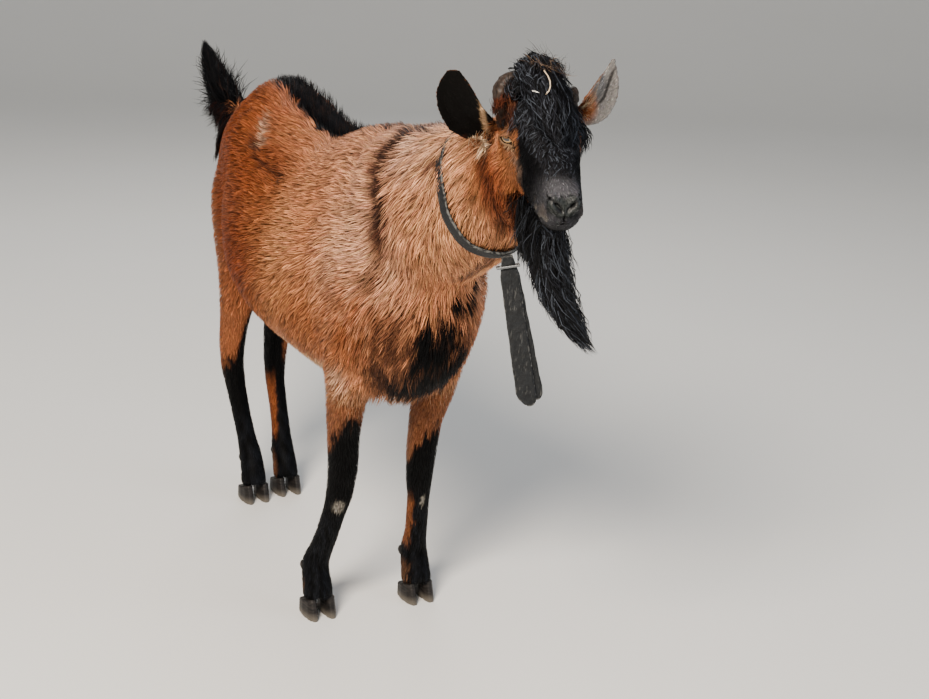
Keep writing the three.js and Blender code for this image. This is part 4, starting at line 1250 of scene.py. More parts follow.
# %% Eye material
def wet_amber_eye():
    material, tree = new_material("wet_amber_eye")
    place = add(tree, "Attribute", attribute_name="ball")
    parts = add(tree, "SeparateXYZ", links={0: place.outputs["Vector"]})
    flat = add(tree, "CombineXYZ", links={"X": parts.outputs["X"], "Y": parts.outputs["Y"]})
    off = add(tree, "VectorMath", links={0: flat.outputs["Vector"]}, operation="LENGTH")
    fibres = add(tree, "TexNoise", {"Scale": 9.0, "Detail": 5.0, "Roughness": 0.7},
                 {"Vector": place.outputs["Vector"]})
    shaken = add(tree, "Math", {1: 0.14}, {0: fibres.outputs["Fac"], 2: off.outputs["Value"]},
                 operation="MULTIPLY_ADD")
    rings = add(tree, "ValToRGB", links={"Fac": shaken.outputs["Value"]})
    ramp = rings.color_ramp
    ramp.elements[0].position, ramp.elements[0].color = 0.18, rgba("#6A4A26")
    ramp.elements[1].position, ramp.elements[1].color = 0.98, rgba("#1A1210")
    for spot, tone in ((0.34, "#A8824E"), (0.58, "#B99A68"), (0.68, "#2B1D14"), (0.80, "#3A2C26")):
        ramp.elements.new(spot).color = rgba(tone)
    wide = add(tree, "Math", links={0: parts.outputs["X"]}, operation="ABSOLUTE")
    tall = add(tree, "Math", links={0: parts.outputs["Y"]}, operation="ABSOLUTE")
    wide_in = remap(tree, wide.outputs["Value"], 0.30, 0.36, 1.0, 0.0)
    tall_in = remap(tree, tall.outputs["Value"], 0.10, 0.14, 1.0, 0.0)
    pupil = add(tree, "Math", links={0: wide_in, 1: tall_in}, operation="MULTIPLY")
    tone = add(tree, "MixRGB", {"Color2": rgba("#07060A")}, {"Fac": pupil.outputs["Value"],
                                                             "Color1": rings.outputs["Color"]})
    return finished(material, {"Roughness": 0.28, "IOR": 1.38, "Coat Weight": 1.0, "Coat Roughness": 0.03},
                    {"Base Color": tone.outputs["Color"]})


# %% Eyeballs
def eyeball(side, rings=40, spokes=56, radius=13.9):
    along, up, out = eye_axes(side)
    tilt = np.linspace(0.02, math.pi - 0.02, rings)
    turn = np.linspace(0, 2 * math.pi, spokes, endpoint=False)
    bulge = radius + 0.9 * np.clip(1 - (tilt / math.radians(40)) ** 2, 0, 1) ** 2
    t, u = np.meshgrid(tilt, turn, indexing="ij")
    ball = np.stack([np.sin(t) * np.cos(u), np.sin(t) * np.sin(u), np.cos(t)], axis=-1)
    at = (ball * bulge[:, None, None]) @ np.stack([along, up, out]) + EYES[side]
    index = np.arange(rings * spokes).reshape(rings, spokes)
    nxt = np.roll(index, -1, axis=1)
    quads = np.stack([index[:-1], index[1:], nxt[1:], nxt[:-1]], axis=-1).reshape(-1, 4)
    mesh = new_mesh(f"eyeball_{side}", from_head(at.reshape(-1, 3)), quads)
    work = bmesh.new()
    work.from_mesh(mesh)
    bmesh.ops.contextual_create(work, geom=[e for e in work.edges if e.is_boundary and e.verts[0].index < spokes])
    bmesh.ops.holes_fill(work, edges=[e for e in work.edges if e.is_boundary], sides=spokes)
    bmesh.ops.recalc_face_normals(work, faces=work.faces)
    work.to_mesh(mesh)
    work.free()
    layer = mesh.attributes.new("ball", "FLOAT_VECTOR", "POINT")
    layer.data.foreach_set("vector", ball.reshape(-1).astype(np.float32))
    return mesh


amber = wet_amber_eye()
for side in EYES:
    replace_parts(placed(f"eyeball_{side}", eyeball(side), amber), f"eye_{side}")
print("eyes: two balls of", EYE_RADIUS, "mm radius")

# %% [markdown]
# Horn and hoof are both keratin: hard, a little waxy, with fibres along the horn and rings round
# the hoof where it grew. The pieces start from the solids, remeshed finely and smoothed. The
# horns get a root that goes down through the skin, and the soles stay flat on the floor.

# %% Keratin
def keratin(name, dark, pale, streaks, pale_below=None):
    """Grown horn: streaks are the pattern's scales along x, y and z in the object's metres."""
    material, tree = new_material(name)
    place = add(tree, "TexCoord")
    stretched = add(tree, "Mapping", {"Scale": streaks}, {"Vector": place.outputs["Object"]})
    fibres = add(tree, "TexNoise", {"Scale": 1.0, "Detail": 5.0, "Roughness": 0.65},
                 {"Vector": stretched.outputs["Vector"]})
    tone = add(tree, "ValToRGB", links={"Fac": fibres.outputs["Fac"]})
    tone.color_ramp.elements[0].position, tone.color_ramp.elements[0].color = 0.34, rgba(dark)
    tone.color_ramp.elements[1].position, tone.color_ramp.elements[1].color = 0.68, rgba(pale)
    colour = tone.outputs["Color"]
    if pale_below:
        height = add(tree, "SeparateXYZ", links={0: place.outputs["Object"]})
        low = remap(tree, height.outputs["Z"], 0.002, pale_below, 0.65, 0.0)
        worn = add(tree, "MixRGB", {"Color2": rgba("#6E675D")}, {"Fac": low, "Color1": colour})
        colour = worn.outputs["Color"]
    bump = add(tree, "Bump", {"Strength": 0.55, "Distance": 0.0008}, {"Height": fibres.outputs["Fac"]})
    return finished(material, {"Roughness": 0.5, "IOR": 1.54, "Specular IOR Level": 0.18},
                    {"Base Color": colour, "Normal": bump.outputs["Normal"]})


# %% Horns
scur_horn = keratin("weathered_scur_horn", "#120E0C", "#40332B", (260, 260, 70))
HORN_ROOTS = {"right": ((-43, 26, 14), (9, 14, 11)), "left": ((33, 26, 12), (10, 13, 10))}
for side, root_lump in HORN_ROOTS.items():
    horn = smoothed([f"horn_{side}"], 1.3, 0.3, 14, 0.0, [root_lump])
    rings = 0.45 * np.sin(to_head(horn.points)[:, 2] / 1.5 + ripple(horn.points, 14, 7))
    horn.points = horn.points + horn.normals() * (rings + 0.5 * ripple(horn.points, 9, 8))[:, None]
    piece = shell_piece(f"scur_{side}", horn, scur_horn)
    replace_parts(piece, f"horn_{side}")
    print(piece.name, len(piece.data.polygons), "faces")

# %% Hooves and dewclaws
hoof_horn = keratin("worn_hoof_horn", "#0C0B0B", "#2A2624", (90, 90, 330), 0.014)
for leg in LEGS:
    parts = [f"{leg}_{kind}_{half}" for kind in ("claw", "dewclaw") for half in ("right", "left")]
    hoof = smoothed(parts, 1.6, 0.0, 5, 0.15)
    z = hoof.points[:, 2]
    rings = 0.3 * np.sin(z / 0.75) * step(2, 6, z) * step(40, 30, z)
    hoof.points = hoof.points + hoof.normals() * rings[:, None]
    hoof.points[:, 2] = np.where(hoof.points[:, 2] < 1.1, 0.0, hoof.points[:, 2])
    piece = shell_piece(f"hoof_{leg}", hoof, hoof_horn)
    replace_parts(piece, *parts)

# %% [markdown]
# The collar is a leather band, and its two loose ends hang in front of the throat. Old leather
# that has been wet and dry many times turns slate grey, cracks across, and goes pale and fuzzy
# along its edges. A wear value on each point marks the edges, and a stretched noise draws the cracks.

# %% Leather and steel
def weathered_leather():
    material, tree = new_material("weathered_harness_leather")
    place = add(tree, "TexCoord")
    grain = add(tree, "TexVoronoi", {"Scale": 520.0}, {"Vector": place.outputs["Object"]})  # 2 mm pebbles
    blotch = noise(tree, place, 170.0, 8.0, 0.75)
    tone = add(tree, "ValToRGB", links={"Fac": blotch.outputs["Fac"]})
    tone.color_ramp.elements[0].position, tone.color_ramp.elements[0].color = 0.36, rgba("#08090B")
    tone.color_ramp.elements[1].position, tone.color_ramp.elements[1].color = 0.70, rgba("#181B1E")
    wear = add(tree, "Attribute", attribute_name="wear")
    scuffs = noise(tree, place, 230.0, 4.0)
    rubbed = add(tree, "Math", {}, {0: wear.outputs["Fac"], 1: scuffs.outputs["Fac"]}, operation="MULTIPLY")
    share = remap(tree, rubbed.outputs["Value"], 0.39, 0.58, 0.0, 0.85)
    drawn = add(tree, "VectorMath", {1: (1.0, 1.0, 0.12)}, {0: place.outputs["Object"]}, operation="MULTIPLY")
    # 2 mm wide, 20 mm long
    scratch = add(tree, "TexNoise", {"Scale": 420.0, "Detail": 3.0}, {"Vector": drawn.outputs["Vector"]})
    marks = remap(tree, scratch.outputs["Fac"], 0.60, 0.72, 0.0, 0.45)
    pale = add(tree, "Math", {}, {0: share, 1: marks}, operation="MAXIMUM")
    colour = add(tree, "MixRGB", {"Color2": rgba("#5B5B58")},
                 {"Fac": pale.outputs["Value"], "Color1": tone.outputs["Color"]})
    rough = remap(tree, blotch.outputs["Fac"], 0.0, 1.0, 0.42, 0.75)
    height = add(tree, "Math", {1: 0.6}, {0: grain.outputs["Distance"], 2: scuffs.outputs["Fac"]},
                 operation="MULTIPLY_ADD")
    bump = add(tree, "Bump", {"Strength": 0.5, "Distance": 0.0006}, {"Height": height.outputs["Value"]})
    return finished(material, {"Specular IOR Level": 0.25},
                    {"Base Color": colour.outputs["Color"], "Roughness": rough, "Normal": bump.outputs["Normal"]})


def dull_steel():
    material, tree = new_material("dull_galvanised_steel")
    place = add(tree, "TexCoord")
    spangle = noise(tree, place, 300.0, 3.0)
    tone = add(tree, "MixRGB", {"Color1": rgba("#5E6062"), "Color2": rgba("#8E9091")},
               {"Fac": spangle.outputs["Fac"]})
    rough = remap(tree, spangle.outputs["Fac"], 0.0, 1.0, 0.3, 0.55)
    return finished(material, {"Metallic": 1.0},
                    {"Base Color": tone.outputs["Color"], "Roughness": rough})


def wear_mesh(mesh, amounts):
    layer = mesh.attributes.new("wear", "FLOAT", "POINT")
    layer.data.foreach_set("value", np.asarray(amounts, np.float32))


leather, steel = weathered_leather(), dull_steel()

# %% Collar band
COLLAR_HALF, COLLAR_THICK = 10.0, 3.6


def collar_band(steps=150):
    """A leather band swept round the neck, just where the solid collar runs."""
    solid, faces = solid_arrays(["collar"])
    tree = BVHTree.FromPolygons([Vector(p) for p in solid], faces.tolist())
    low = np.array(sum(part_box("collar"), Vector()) / 2) / MM - DRAWN_ZERO
    centre = low - COLLAR_WAY * ((low - COLLAR_AT) @ COLLAR_WAY)
    right = np.array([1.0, 0, 0])
    over = np.cross(COLLAR_WAY, right)
    turn = np.linspace(0, 2 * math.pi, steps, endpoint=False)
    spokes = np.outer(np.cos(turn), right) + np.outer(np.sin(turn), over)
    reach = np.array([(Vector(centre + 300 * s) - tree.ray_cast(Vector(centre + 300 * s), Vector(-s))[0]).length
                      for s in spokes])
    reach = 300 - reach
    for _ in range(14):
        reach = (np.roll(reach, 1) + 2 * reach + np.roll(reach, -1)) / 4
    nape = (1 + np.sin(turn)) / 2  # 1 at the nape, where the hair hides the band, and 0 at the throat
    reach -= 0.9 + 8.8 * nape ** 0.8
    reach += 0.5 * np.sin(5 * turn + 1) + 0.3 * np.sin(11 * turn)
    half, deep, bend = COLLAR_HALF, COLLAR_THICK, 1.1
    profile = [(-half, -deep + bend), (-half, -bend), (-half + bend, 0), (-half / 2, 0.2), (0, 0.25), (half / 2, 0.2),
               (half - bend, 0),
               (half, -bend), (half, -deep + bend), (half - bend, -deep), (0, -deep), (-half + bend, -deep)]
    sway = 1.0 * np.sin(3 * turn) + 0.5 * np.sin(8 * turn + 2)
    at = np.array([[centre + s * (r + out) + COLLAR_WAY * (w + shift) for w, out in profile]
                   for s, r, shift in zip(spokes, reach, sway)])
    sides = len(profile)
    index = np.arange(steps * sides).reshape(steps, sides)
    quads = np.stack([index, np.roll(index, -1, 0), np.roll(np.roll(index, -1, 0), -1, 1), np.roll(index, -1, 1)],
                     axis=-1).reshape(-1, 4)
    mesh = new_mesh("collar_band", at.reshape(-1, 3), quads)
    wear_mesh(mesh, np.tile([1 if abs(w) > half - 2 else 0.35 for w, _ in profile], steps))
    return mesh


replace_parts(placed("collar_band", collar_band(), leather), "collar")

# %% Hanging ends and their steel keeper
for name in ("strap_front", "strap_back"):
    strap = smoothed([name], 1.5, 0.0, 6, 0.1)
    middle_line = strap.spread(strap.points, 0.5, 60)
    edge = np.linalg.norm(strap.points - middle_line, axis=1)
    dents = 0.35 * ripple(strap.points, 26, 61) + 0.15 * ripple(strap.points, 7, 62)
    strap.points = strap.points + strap.normals() * dents[:, None]
    mesh = new_mesh(name + "_leather", strap.points, strap.quads)
    wear_mesh(mesh, np.clip(edge / np.quantile(edge, 0.97), 0.3, 1))
    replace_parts(placed(mesh.name, mesh, leather), name)
keeper = smoothed(["strap_keeper"], 0.7, 0.0, 6, 0.0)
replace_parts(shell_piece("keeper_loop", keeper, steel), "strap_keeper")
print("leather and steel in place")

# %% [markdown]
# The beard, the topknot and the tail are long hair, in locks that run the whole length of a mass.
# The solids give each mass its shape, so they are sliced square to their length, and each slice
# gives a centre and two half widths. A lock keeps its own place in every slice it passes, like a
# thread in a rope, with a slow wave of its own and a tip that draws in.

# %% Slices of a mass of hair
def slices(name, way, across, count=12, ends=0.02):
    """Centres, and half widths along across and its square, of slices of a CAD node."""
    at, faces = solid_arrays([name])
    way = unit(np.asarray(way, float))
    across = unit(np.asarray(across, float) - way * (np.asarray(across, float) @ way))
    deep = np.cross(way, across)
    level = at @ way
    rows = []
    for cut in np.linspace(*np.quantile(level, [0, 1]), count) * (1 - 2 * ends) + ends * (level.min() + level.max()):
        edges = np.concatenate([faces[:, [0, 1]], faces[:, [1, 2]], faces[:, [2, 0]]])
        a, b = level[edges[:, 0]] - cut, level[edges[:, 1]] - cut
        crossing = a * b < 0
        share = (a / (a - b))[crossing][:, None]
        spots = at[edges[crossing, 0]] * (1 - share) + at[edges[crossing, 1]] * share
        u, v = spots @ across, spots @ deep
        mid = (u.min() + u.max()) / 2 * across + (v.min() + v.max()) / 2 * deep + cut * way
        rows.append(np.concatenate([mid, [np.ptp(u) / 2, np.ptp(v) / 2]]))
    return np.array(rows), across, deep


def rope_of_hair(rows, across, deep, count, starts, lengths, seed, rings=5, wave=2.0, flare=0.0, draw_in=0.35,
                 fringe=0.0, bunches=60):
    """Spines of locks inside a sliced mass: starts and lengths are ranges of shares of the mass."""
    draw = np.random.default_rng(seed)
    angle, radius = draw.uniform(0, 2 * math.pi, count), np.sqrt(draw.uniform(0.05, 1, count)) * 0.97
    begin = starts[0] + (starts[1] - starts[0]) * draw.random(count) ** 1.3
    finish = np.minimum(begin + draw.uniform(*lengths, count), 1 + 0.06 * draw.random(count))
    bunch = (angle / (2 * math.pi) * bunches).astype(int)  # locks side by side wave together
    phase = draw.uniform(0, 2 * math.pi, bunches + 1)[bunch] + draw.normal(0, 0.35, count)
    beat = draw.uniform(0.7, 1.7, bunches + 1)[bunch]
    swirl = draw.normal(0, 0.45, bunches + 1)[bunch] + draw.normal(0, 0.12, count)
    stray = fringe * draw.random(bunches + 1)[bunch] * draw.uniform(0.4, 1.0, count)
    spine, outs = [], []
    for ring in range(rings + 1):
        share = ring / rings
        t = (begin + (finish - begin) * share) * (len(rows) - 1)
        row = np.stack([np.interp(t, np.arange(len(rows)), rows[:, i]) for i in range(5)], axis=1)
        row[:, :3] += (rows[-1, :3] - rows[-2, :3]) * np.maximum(t - len(rows) + 1, 0)[:, None]
        row[:, :3] += (rows[0, :3] - rows[1, :3]) * np.maximum(-t, 0)[:, None]
        pull = radius * (1 - draw_in * share ** 2) * (1 - flare * (1 - share)) + stray * share ** 2
        u, v = np.cos(angle + swirl * share) * pull, np.sin(angle + swirl * share) * pull
        sway = wave * share * np.sin(phase + beat * 2 * math.pi * share)
        lift = 0.7 * wave * share * np.cos(1.3 * phase + beat * 2 * math.pi * share)
        spine.append(row[:, :3] + (u * row[:, 3] + sway)[:, None] * across + (v * row[:, 4] + lift)[:, None] * deep)
        outs.append(unit(u[:, None] * across + v[:, None] * deep + 1e-6))
    return spine, outs


def tinted_locks(count, tones, seed, spread=0.18):
    """A colour for each lock: tones are (hex colour, share of the locks)."""
    draw = np.random.default_rng(seed)
    colours = np.stack([linear(tone) for tone, _ in tones])
    shares = np.array([share for _, share in tones])
    pick = draw.choice(len(tones), count, p=shares / shares.sum())
    return colours[pick] * draw.normal(1, spread, (count, 1)).clip(0.45, 1.7)


def rooted_uv(places):
    """Where the skin nearest to each place lies on the unwrap."""
    flat = np.empty((len(places), 2))
    for i, place in enumerate(places):
        flat[i] = unwrap[skin_tree.find_nearest(place)[2]].mean(axis=0)
    return flat


long_coat = coat_hair("long_goat_hair", 0.55, 0.08, 0.0)
BLACK_AND_GLINT_TONES = [("#0A0A0C", 0.52), ("#1B1C21", 0.28), ("#363A41", 0.20)]  # black hair; its two paler tones are painted glints on some locks
print("long hair material:", long_coat.name)


def rope_piece(name, ropes, tones, width, banding_and_shade, seed):
    """One piece from spines and ways of rope_of_hair."""
    spine, outs = ropes
    tint = tinted_locks(len(spine[0]), tones, seed)
    wide = np.random.default_rng(seed + 1).uniform(*width, len(tint))
    mesh = lock_mesh(name, spine, outs, wide, tint, banding_and_shade, rooted_uv(spine[0]), seed + 2)
    print(name, len(mesh.polygons), "triangles")
    return placed(name, mesh, long_coat)


# %% Beard
rows, across, deep = slices("beard", HEAD @ np.array([0, -0.05, -1.0]), HEAD[:, 0], 14)
ropes = rope_of_hair(rows, across, deep, 2700, (-0.02, 0.62), (0.18, 0.55), 71, wave=6.0, draw_in=0.12, fringe=0.9,
                     bunches=80)
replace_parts(rope_piece("beard_hair", ropes, BLACK_AND_GLINT_TONES, (1.1, 2.0), (0.8, 1.0, 1.15), 72), "beard")

# %% Topknot
rows, across, deep = slices("forelock", HEAD @ np.array([0, -1.0, -0.12]), HEAD[:, 0], 12)
ropes = rope_of_hair(rows, across, deep, 2300, (0.0, 0.7), (0.2, 0.5), 81, wave=7.5, draw_in=-0.05, fringe=0.35,
                     bunches=70)
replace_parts(rope_piece("topknot_hair", ropes, BLACK_AND_GLINT_TONES, (1.0, 1.9), (0.75, 1.0, 1.2), 82), "forelock")

# %% Tail
rows, across, deep = slices("tail", (0, 0.72, 0.69), (1, 0, 0), 12)
full = rope_of_hair(rows, across, deep, 1700, (0.0, 0.72), (0.22, 0.5), 91, rings=4, wave=4.0, flare=0.8,
                    draw_in=-0.1, fringe=0.7)
loose = rope_of_hair(rows, across, deep, 500, (0.0, 0.7), (0.14, 0.3), 96, rings=4, wave=3.0, flare=0.2, draw_in=-0.2,
                     fringe=2.0, bunches=46)
ropes = [[np.concatenate(pair) for pair in zip(*half)] for half in zip(full, loose)]
rope_piece("tail_hair", ropes, [("#050507", 0.92), ("#1C110D", 0.08)], (1.0, 1.8), (0.75, 1.0, 1.2), 92)

# %% [markdown]
# Along the spine a buck has a crest of black hair that stands half up, and his breast, belly and
# elbows carry a fringe that hangs. These locks start on the skin like the short coat but leave
# it: each one sets off along its own way and is then bent by its weight.

# %% Locks that leave the skin
def free_locks(root, out, way, length, seed, rings=4, lift=0.5, weight=0.3, curl=2.0, clump=14.0, gather=0.35):
    """Spines that set off along way, raised by lift along out, and bent down by weight."""
    draw = np.random.default_rng(seed)
    keys, bunch = np.unique(space_cells(root, clump), return_inverse=True)
    phase, beat = draw.uniform(0, 2 * math.pi, len(keys))[bunch], draw.uniform(0.5, 1.2, len(keys))[bunch]
    side = unit(np.cross(way, out))
    spine, outs = [root - 0.5 * out], [out]
    for ring in range(1, rings + 1):
        share = ring / rings
        bend = np.array([0, 0, -1.0]) * weight * share ** 2
        sway = curl * share * np.sin(phase + beat * 2 * math.pi * share) - curl * share * np.sin(phase)
        at = root + length[:, None] * share * unit(way + lift * (1 - 0.5 * share) * out + bend) + side * sway[:, None]
        spine.append(at)
        outs.append(out)
    first = np.unique(bunch, return_index=True)[1][bunch]
    for ring in range(1, rings + 1):
        pull = gather * (ring / rings) ** 1.5
        spine[ring] = spine[ring] * (1 - pull) + spine[ring][first] * pull
    return spine, outs


def grow_free(name, where, spacing, way_at, length, seed, width, tones=None, slot="long_hair", material=None,
              banding_and_shade=(0.6, 1.0, 1.2), **bends):
    """A piece of free locks, rooted where the rule says."""
    root, out, triangle, weight = scattered(lambda at: np.full(len(at), float(spacing)), seed, where)
    draw = np.random.default_rng(seed + 1)
    way = combed(way_at(root, out), root, out)
    reach = (length(root) if callable(length) else length) * draw.uniform(0.6, 1.15, len(root))
    spine, outs = free_locks(root, out, way, reach, seed + 2, **bends)
    if tones is None:
        tint = coat_colour(root, out) * draw.normal(1, 0.25, (len(root), 1)).clip(0.4, 1.8)
    else:
        tint = tinted_locks(len(root), tones, seed + 3)
    mesh = lock_mesh(name, spine, outs, draw.uniform(*width, len(root)), tint, banding_and_shade, uv_of(triangle, weight),
                     seed + 4)
    placed(name, mesh, material or long_coat)
    print(name, len(root), "locks,", len(mesh.polygons), "triangles")


def along_back(at, side, half):
    """Whether each point lies in a band along the spine, its middle set off to one side."""
    x, y, z = at.T
    return (np.abs(x - spine_x(y) - side) < half) & (z > 640) & (y > -300) & (y < 700) & (spine_share(at) > 0.35)


def up_and_back(at, out):
    return np.tile([0.0, 1.0, 0.1], (len(at), 1))


def beside_tail(at, out):
    return np.stack([0.9 * np.sign(at[:, 0]), np.full(len(at), 0.6), np.full(len(at), -0.7)], axis=1)


def black_crest(at):
    return (crest_share(at, -2) > 0.5) & (at[:, 2] > 690) & (at[:, 1] < 580)


def brown_crest(at):
    return along_back(at, 2, 18) & (at[:, 1] <= 95)


def rump_length(at):
    return np.interp(at[:, 1], [100, 190, 400, 450, 560], [18, 31, 34, 24, 14])


def tail_base(at):
    return (at[:, 1] > 640) & (at[:, 2] > 660) & (at[:, 2] < 735) & (np.abs(at[:, 0]) < 42)


grow_free("crest_rump", black_crest, 2.7, up_and_back, rump_length, 201, (0.7, 1.2),
          [("#070709", 0.7), ("#16161A", 0.2), ("#2A1C15", 0.1)], rings=3, lift=3.2, weight=-1.6, curl=2.5, clump=6.5,
          gather=0.6, material=soft_coat)
grow_free("tail_base_hair", tail_base, 2.8, beside_tail, 40, 421, (0.7, 1.2),
          [("#070709", 0.75), ("#2A120A", 0.25)], rings=3, lift=0.9, weight=0.5, curl=3.0, clump=9.0, gather=0.6,
          material=soft_coat)
grow_free("crest_withers", brown_crest, 3.0, up_and_back, 28, 211, (0.7, 1.2),
          [("#2A1C17", 0.4), ("#8E6A57", 0.3), ("#54362A", 0.3)], rings=3, lift=1.1, weight=0.1, curl=2.0,
          clump=8.0, gather=0.6)

# %% Breast, elbow and belly fringes
def hanging_way(at, out):
    return np.tile([0.0, 0.15, -1.0], (len(at), 1))


def breast_zone(at):
    x, y, z = at.T
    return (y < -20) & (y > -330) & (z < 640) & (z > 395) & (np.abs(x) < 95)


def breast_length(at):
    """Long in the middle of the breast, short where it meets the coat round it."""
    return 46 * np.interp(np.abs(at[:, 0]), [45, 95], [1, 0.3]) * np.interp(at[:, 2], [540, 640], [1, 0.35])


BELLY_EDGE = laid([(-140, 330, 512), (-143, 238, 490), (-129, 163, 470), (-96, 128, 432)])


def belly_zone(at):
    _, y, z = at.T
    return (off_line(folded(at), BELLY_EDGE) + 7 * ripple(at, 9, 66) < 9) | ((y > 100) & (y < 480) & (z < 442)
                                                                             & (z > 380))


def elbow_zone(at):
    x, y, z = at.T
    return (y > -40) & (y < 70) & (z < 440) & (z > 392) & (np.abs(x) > 50)


grow_free("breast_hair", breast_zone, 4.8, hanging_way, breast_length, 221, (0.9, 1.5), rings=3, lift=0.32,
          weight=0.25, curl=3.0, clump=18.0, gather=0.45)
grow_free("belly_fringe", belly_zone, 5.0, hanging_way, lambda at: np.interp(at[:, 2], [420, 480], [26, 12]), 231,
          (0.5, 0.9), rings=3, lift=0.2, weight=0.5, curl=2.0)
grow_free("elbow_hair", elbow_zone, 3.9, hanging_way, 28, 241, (0.6, 1.0),
          [("#A98264", 0.25), ("#8A5636", 0.45), ("#6A3F28", 0.3)], rings=3, lift=0.2, weight=0.5, curl=2.0)

# %% [markdown]
# The face's long black hair falls forward from the crown over the forehead, and a tuft of it
# hangs beside the left eye. Finer wisps, some of them pale, stand up from the topknot.

# %% Forehead and bridge of the nose
def on_forehead(at):
    hx, hy, hz = to_head(at).T
    wide = np.interp(hy, [-112, -60, -20, 20, 40], [16, 25, 29, 34, 36])
    low = np.interp(hy, [-112, -60, 0, 40], [4, 6, 12, 20])
    return (hz > low) & (hy < 40) & (hy > -112) & (np.abs(hx) < wide) & (at[:, 1] < -335)


def wavy_way(at, out):
    hx, hy, hz = to_head(at).T
    wave = 0.55 * ripple(at, 24, 77) + 0.35 * ripple(at, 9, 78)
    return np.stack([0.016 * (hx - 4) + wave, np.full(len(at), -1.0), np.full(len(at), -0.15)], axis=1) @ HEAD.T


root, out, triangle, weight = scattered(lambda at: np.interp(to_head(at)[:, 1], [-110, -40, 30], [2.7, 2.4, 2.2]),
                                        251, on_forehead)
nose_place = to_head(root)[:, 1]
draw = np.random.default_rng(252)
length = np.interp(nose_place, [-112, -70, -35, 0, 34], [7, 13, 23, 32, 38]) * draw.uniform(0.6, 1.25, len(root))
height = np.interp(nose_place, [-112, -70, -35, 0, 34], [1.2, 3, 6, 8, 10]) * draw.uniform(0.3, 1.3, len(root))
spine, outs, _ = grown(root, out, combed(wavy_way(root, out), root, out), length, height, 5, 253, gather=0.6,
                       clump=8.0, wander=0.45)
tint = tinted_locks(len(root), BLACK_AND_GLINT_TONES, 254)
mesh = lock_mesh("forehead_hair", spine, outs, draw.uniform(0.8, 1.4, len(root)), tint, (0.6, 1.0, 1.2),
                 uv_of(triangle, weight), 255)
placed("forehead_hair", mesh, long_coat)
print("forehead_hair", len(root), "locks,", len(mesh.polygons), "triangles")


# %% Tufts and wisps
def tuft(name, starts, ends, count, seed, width, tones, sag=(0, 0, 0), spread=4.0, rings=5, curl=3.0, loose=0.4):
    """Locks between two small places in the head's frame, with a bow given by sag."""
    draw = np.random.default_rng(seed)
    begin = np.asarray(starts, float)[draw.integers(len(starts), size=count)] + draw.normal(0, spread * 0.6,
                                                                                            (count, 3))
    end = np.asarray(ends, float)[draw.integers(len(ends), size=count)] + draw.normal(0, spread, (count, 3))
    phase = draw.uniform(0, 2 * math.pi, (count, 1))
    bow = np.asarray(sag, float) * draw.uniform(1 - loose, 1 + loose, (count, 1))
    spine = []
    for ring in range(rings + 1):
        share = ring / rings
        sway = curl * share * np.sin(phase + 5 * share + np.array([0, 2.0, 4.0]))
        spine.append(from_head(begin * (1 - share) + end * share + bow * 4 * share * (1 - share) + sway))
    outs = [unit(row - from_head(np.array([0.0, 20, 20]))) for row in spine]
    mesh = lock_mesh(name, spine, outs, draw.uniform(*width, count), tinted_locks(count, tones, seed + 1),
                     (0.8, 1.0, 1.1), rooted_uv(spine[0]), seed + 2)
    placed(name, mesh, long_coat)


tuft("eye_tuft", [(30, -12, 24), (34, -16, 20), (28, -4, 28)], [(50, -20, -12), (46, -14, -26), (52, -16, 2)], 150,
     301, (0.8, 1.3), BLACK_AND_GLINT_TONES, sag=(5, -5, 7), spread=4.0)
tuft("crown_wisps", [(-14, 22, 82), (-4, 14, 84), (-22, 10, 78), (6, 4, 82)],
     [(-26, -4, 106), (-2, -10, 104), (-14, 24, 108), (-34, 10, 100), (10, 4, 98), (20, -4, 92)], 150, 311,
     (0.35, 0.7),
     [("#0A0A0C", 0.6), ("#4A3A30", 0.28), ("#8E7560", 0.12)], spread=6.0, curl=8.0, rings=6)
tuft("pale_lock", [(-12, -12, 96)], [(-13, -38, 78)], 9, 321, (0.5, 0.8), [("#CBB79C", 1.0)], sag=(6, -4, 1),
     spread=0.5, curl=0.3, loose=0.03)
tuft("white_fleck", [(-28, -31, 79)], [(-21, -34, 78)], 6, 325, (0.8, 1.1), [("#D8D4CC", 1.0)], sag=(0, -1, 1),
     spread=0.7, curl=0.3, loose=0.1, rings=3)
tuft("horn_base_hair", [(-40, 18, 26), (-36, 24, 34), (-44, 20, 24)], [(-42, 18, 48), (-40, 20, 58), (-42, 10, 38)],
     200, 331, (0.8, 1.3),
     [("#38190E", 0.45), ("#56301C", 0.2), ("#120B08", 0.35)], sag=(-2, -3, 0), spread=4.5, rings=4)
tuft("temple_hair_dark", [(-52, 4, 12), (-49, 2, 14), (-52, 10, 10)], [(-56, 12, 30), (-52, 8, 34), (-51, 4, 30)],
     200, 391, (0.6, 1.0),
     [("#1C1512", 0.8), ("#33190D", 0.2)], sag=(-2, -1, 0), spread=3.5, rings=4)
tuft("temple_hair_rust", [(-57, 16, 26), (-53, 12, 30), (-59, 22, 20)], [(-57, 16, 42), (-53, 13, 47), (-58, 22, 38)],
     150, 396, (0.6, 1.0),
     [("#50281A", 0.55), ("#2A140D", 0.45)], sag=(-2, -2, 0), spread=3.2, rings=4)
tuft("brow_hair", [(-42, -16, 12), (-41, -10, 18), (-39, -4, 24)], [(-42, 4, 32), (-38, 10, 38), (-44, 8, 28)], 170,
     386, (0.6, 1.0),
     [("#34190F", 0.5), ("#53382A", 0.25), ("#170C09", 0.25)], sag=(-3, -4, 2), spread=3.0, rings=4)
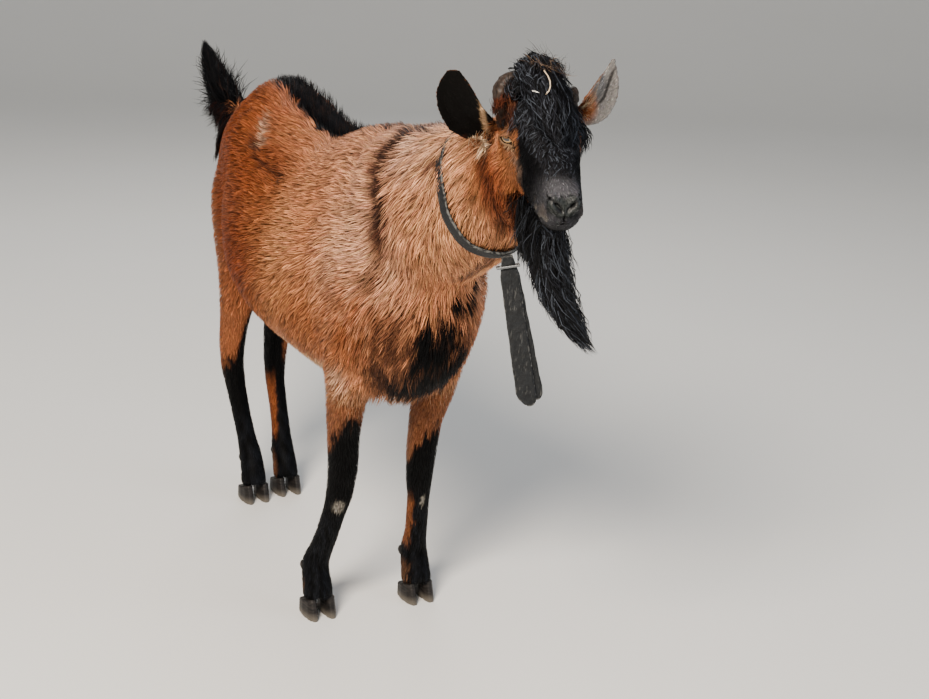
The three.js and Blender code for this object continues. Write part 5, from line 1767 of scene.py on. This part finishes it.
tuft("poll_hair", [(-32, 30, 36), (-28, 34, 42), (-38, 26, 34)],
     [(-38, 20, 66), (-30, 14, 74), (-42, 22, 56), (-40, 12, 60)], 420, 341, (0.9, 1.5), BLACK_AND_GLINT_TONES, sag=(-4, -5, 0),
     spread=6.0, rings=4)
tuft("chin_side_hair", [(-29, -72, -46), (-28, -92, -46), (-26, -108, -44), (-21, -122, -44)],
     [(-30, -92, -104), (-28, -110, -100), (-24, -124, -96), (-26, -100, -122)],
     440, 351, (0.9, 1.6), BLACK_AND_GLINT_TONES, sag=(-4, 0, 0), spread=5.0)
# its dark reddish tones are partly the hair's colour and partly painted shade of the fold from cheek to neck
tuft("jaw_side_hair", [(-32, -44, -62), (-30, -58, -58), (-30, -32, -70), (-34, -22, -74)],
     [(-29, -60, -98), (-26, -72, -104), (-30, -46, -94), (-34, -34, -92)], 380, 361, (0.8, 1.4),
     [("#1C0F0A", 0.4), ("#5A2A14", 0.35), ("#80482A", 0.25)], sag=(-2, 0, 0), spread=6.0)
tuft("ear_base_right", [(-60, 34, -14), (-66, 33, -12), (-74, 31, -14), (-82, 29, -22)],
     [(-66, 27, -30), (-70, 28, -36), (-76, 30, -38), (-84, 26, -36)], 46, 371, (0.4, 0.7),
     [("#E0BE9A", 0.5), ("#A8683E", 0.5)], sag=(-1, -2, 0), spread=3.5, rings=4, curl=1.2)
tuft("ear_base_left", [(52, 36, 4), (56, 40, 12), (54, 34, 18)], [(66, 34, 22), (62, 28, 10), (68, 42, 30)], 100, 381,
     (0.6, 1.0),
     [("#8E4A22", 0.7), ("#C9AC84", 0.3)], sag=(0, -3, 2), spread=3.0, rings=4, curl=1.2)
print("tufts placed")

# %% [markdown]
# The hair of the pastern runs on over the top of each hoof. Each leg gets a ring of short locks
# that start on the skin just above the horn and hang over its edge.

# %% Hair over the hooves
def over_hooves(at):
    return (at[:, 2] < 50) & (at[:, 2] > 28)


grow_free("coronet_hair", over_hooves, 2.8, hanging_way, lambda at: np.interp(at[:, 2], [28, 50], [8, 14]), 401,
          (0.8, 1.2), rings=3, lift=0.1, weight=0.2,
          curl=0.8, clump=9.0, gather=0.2, material=sleek_coat, slot="coat")
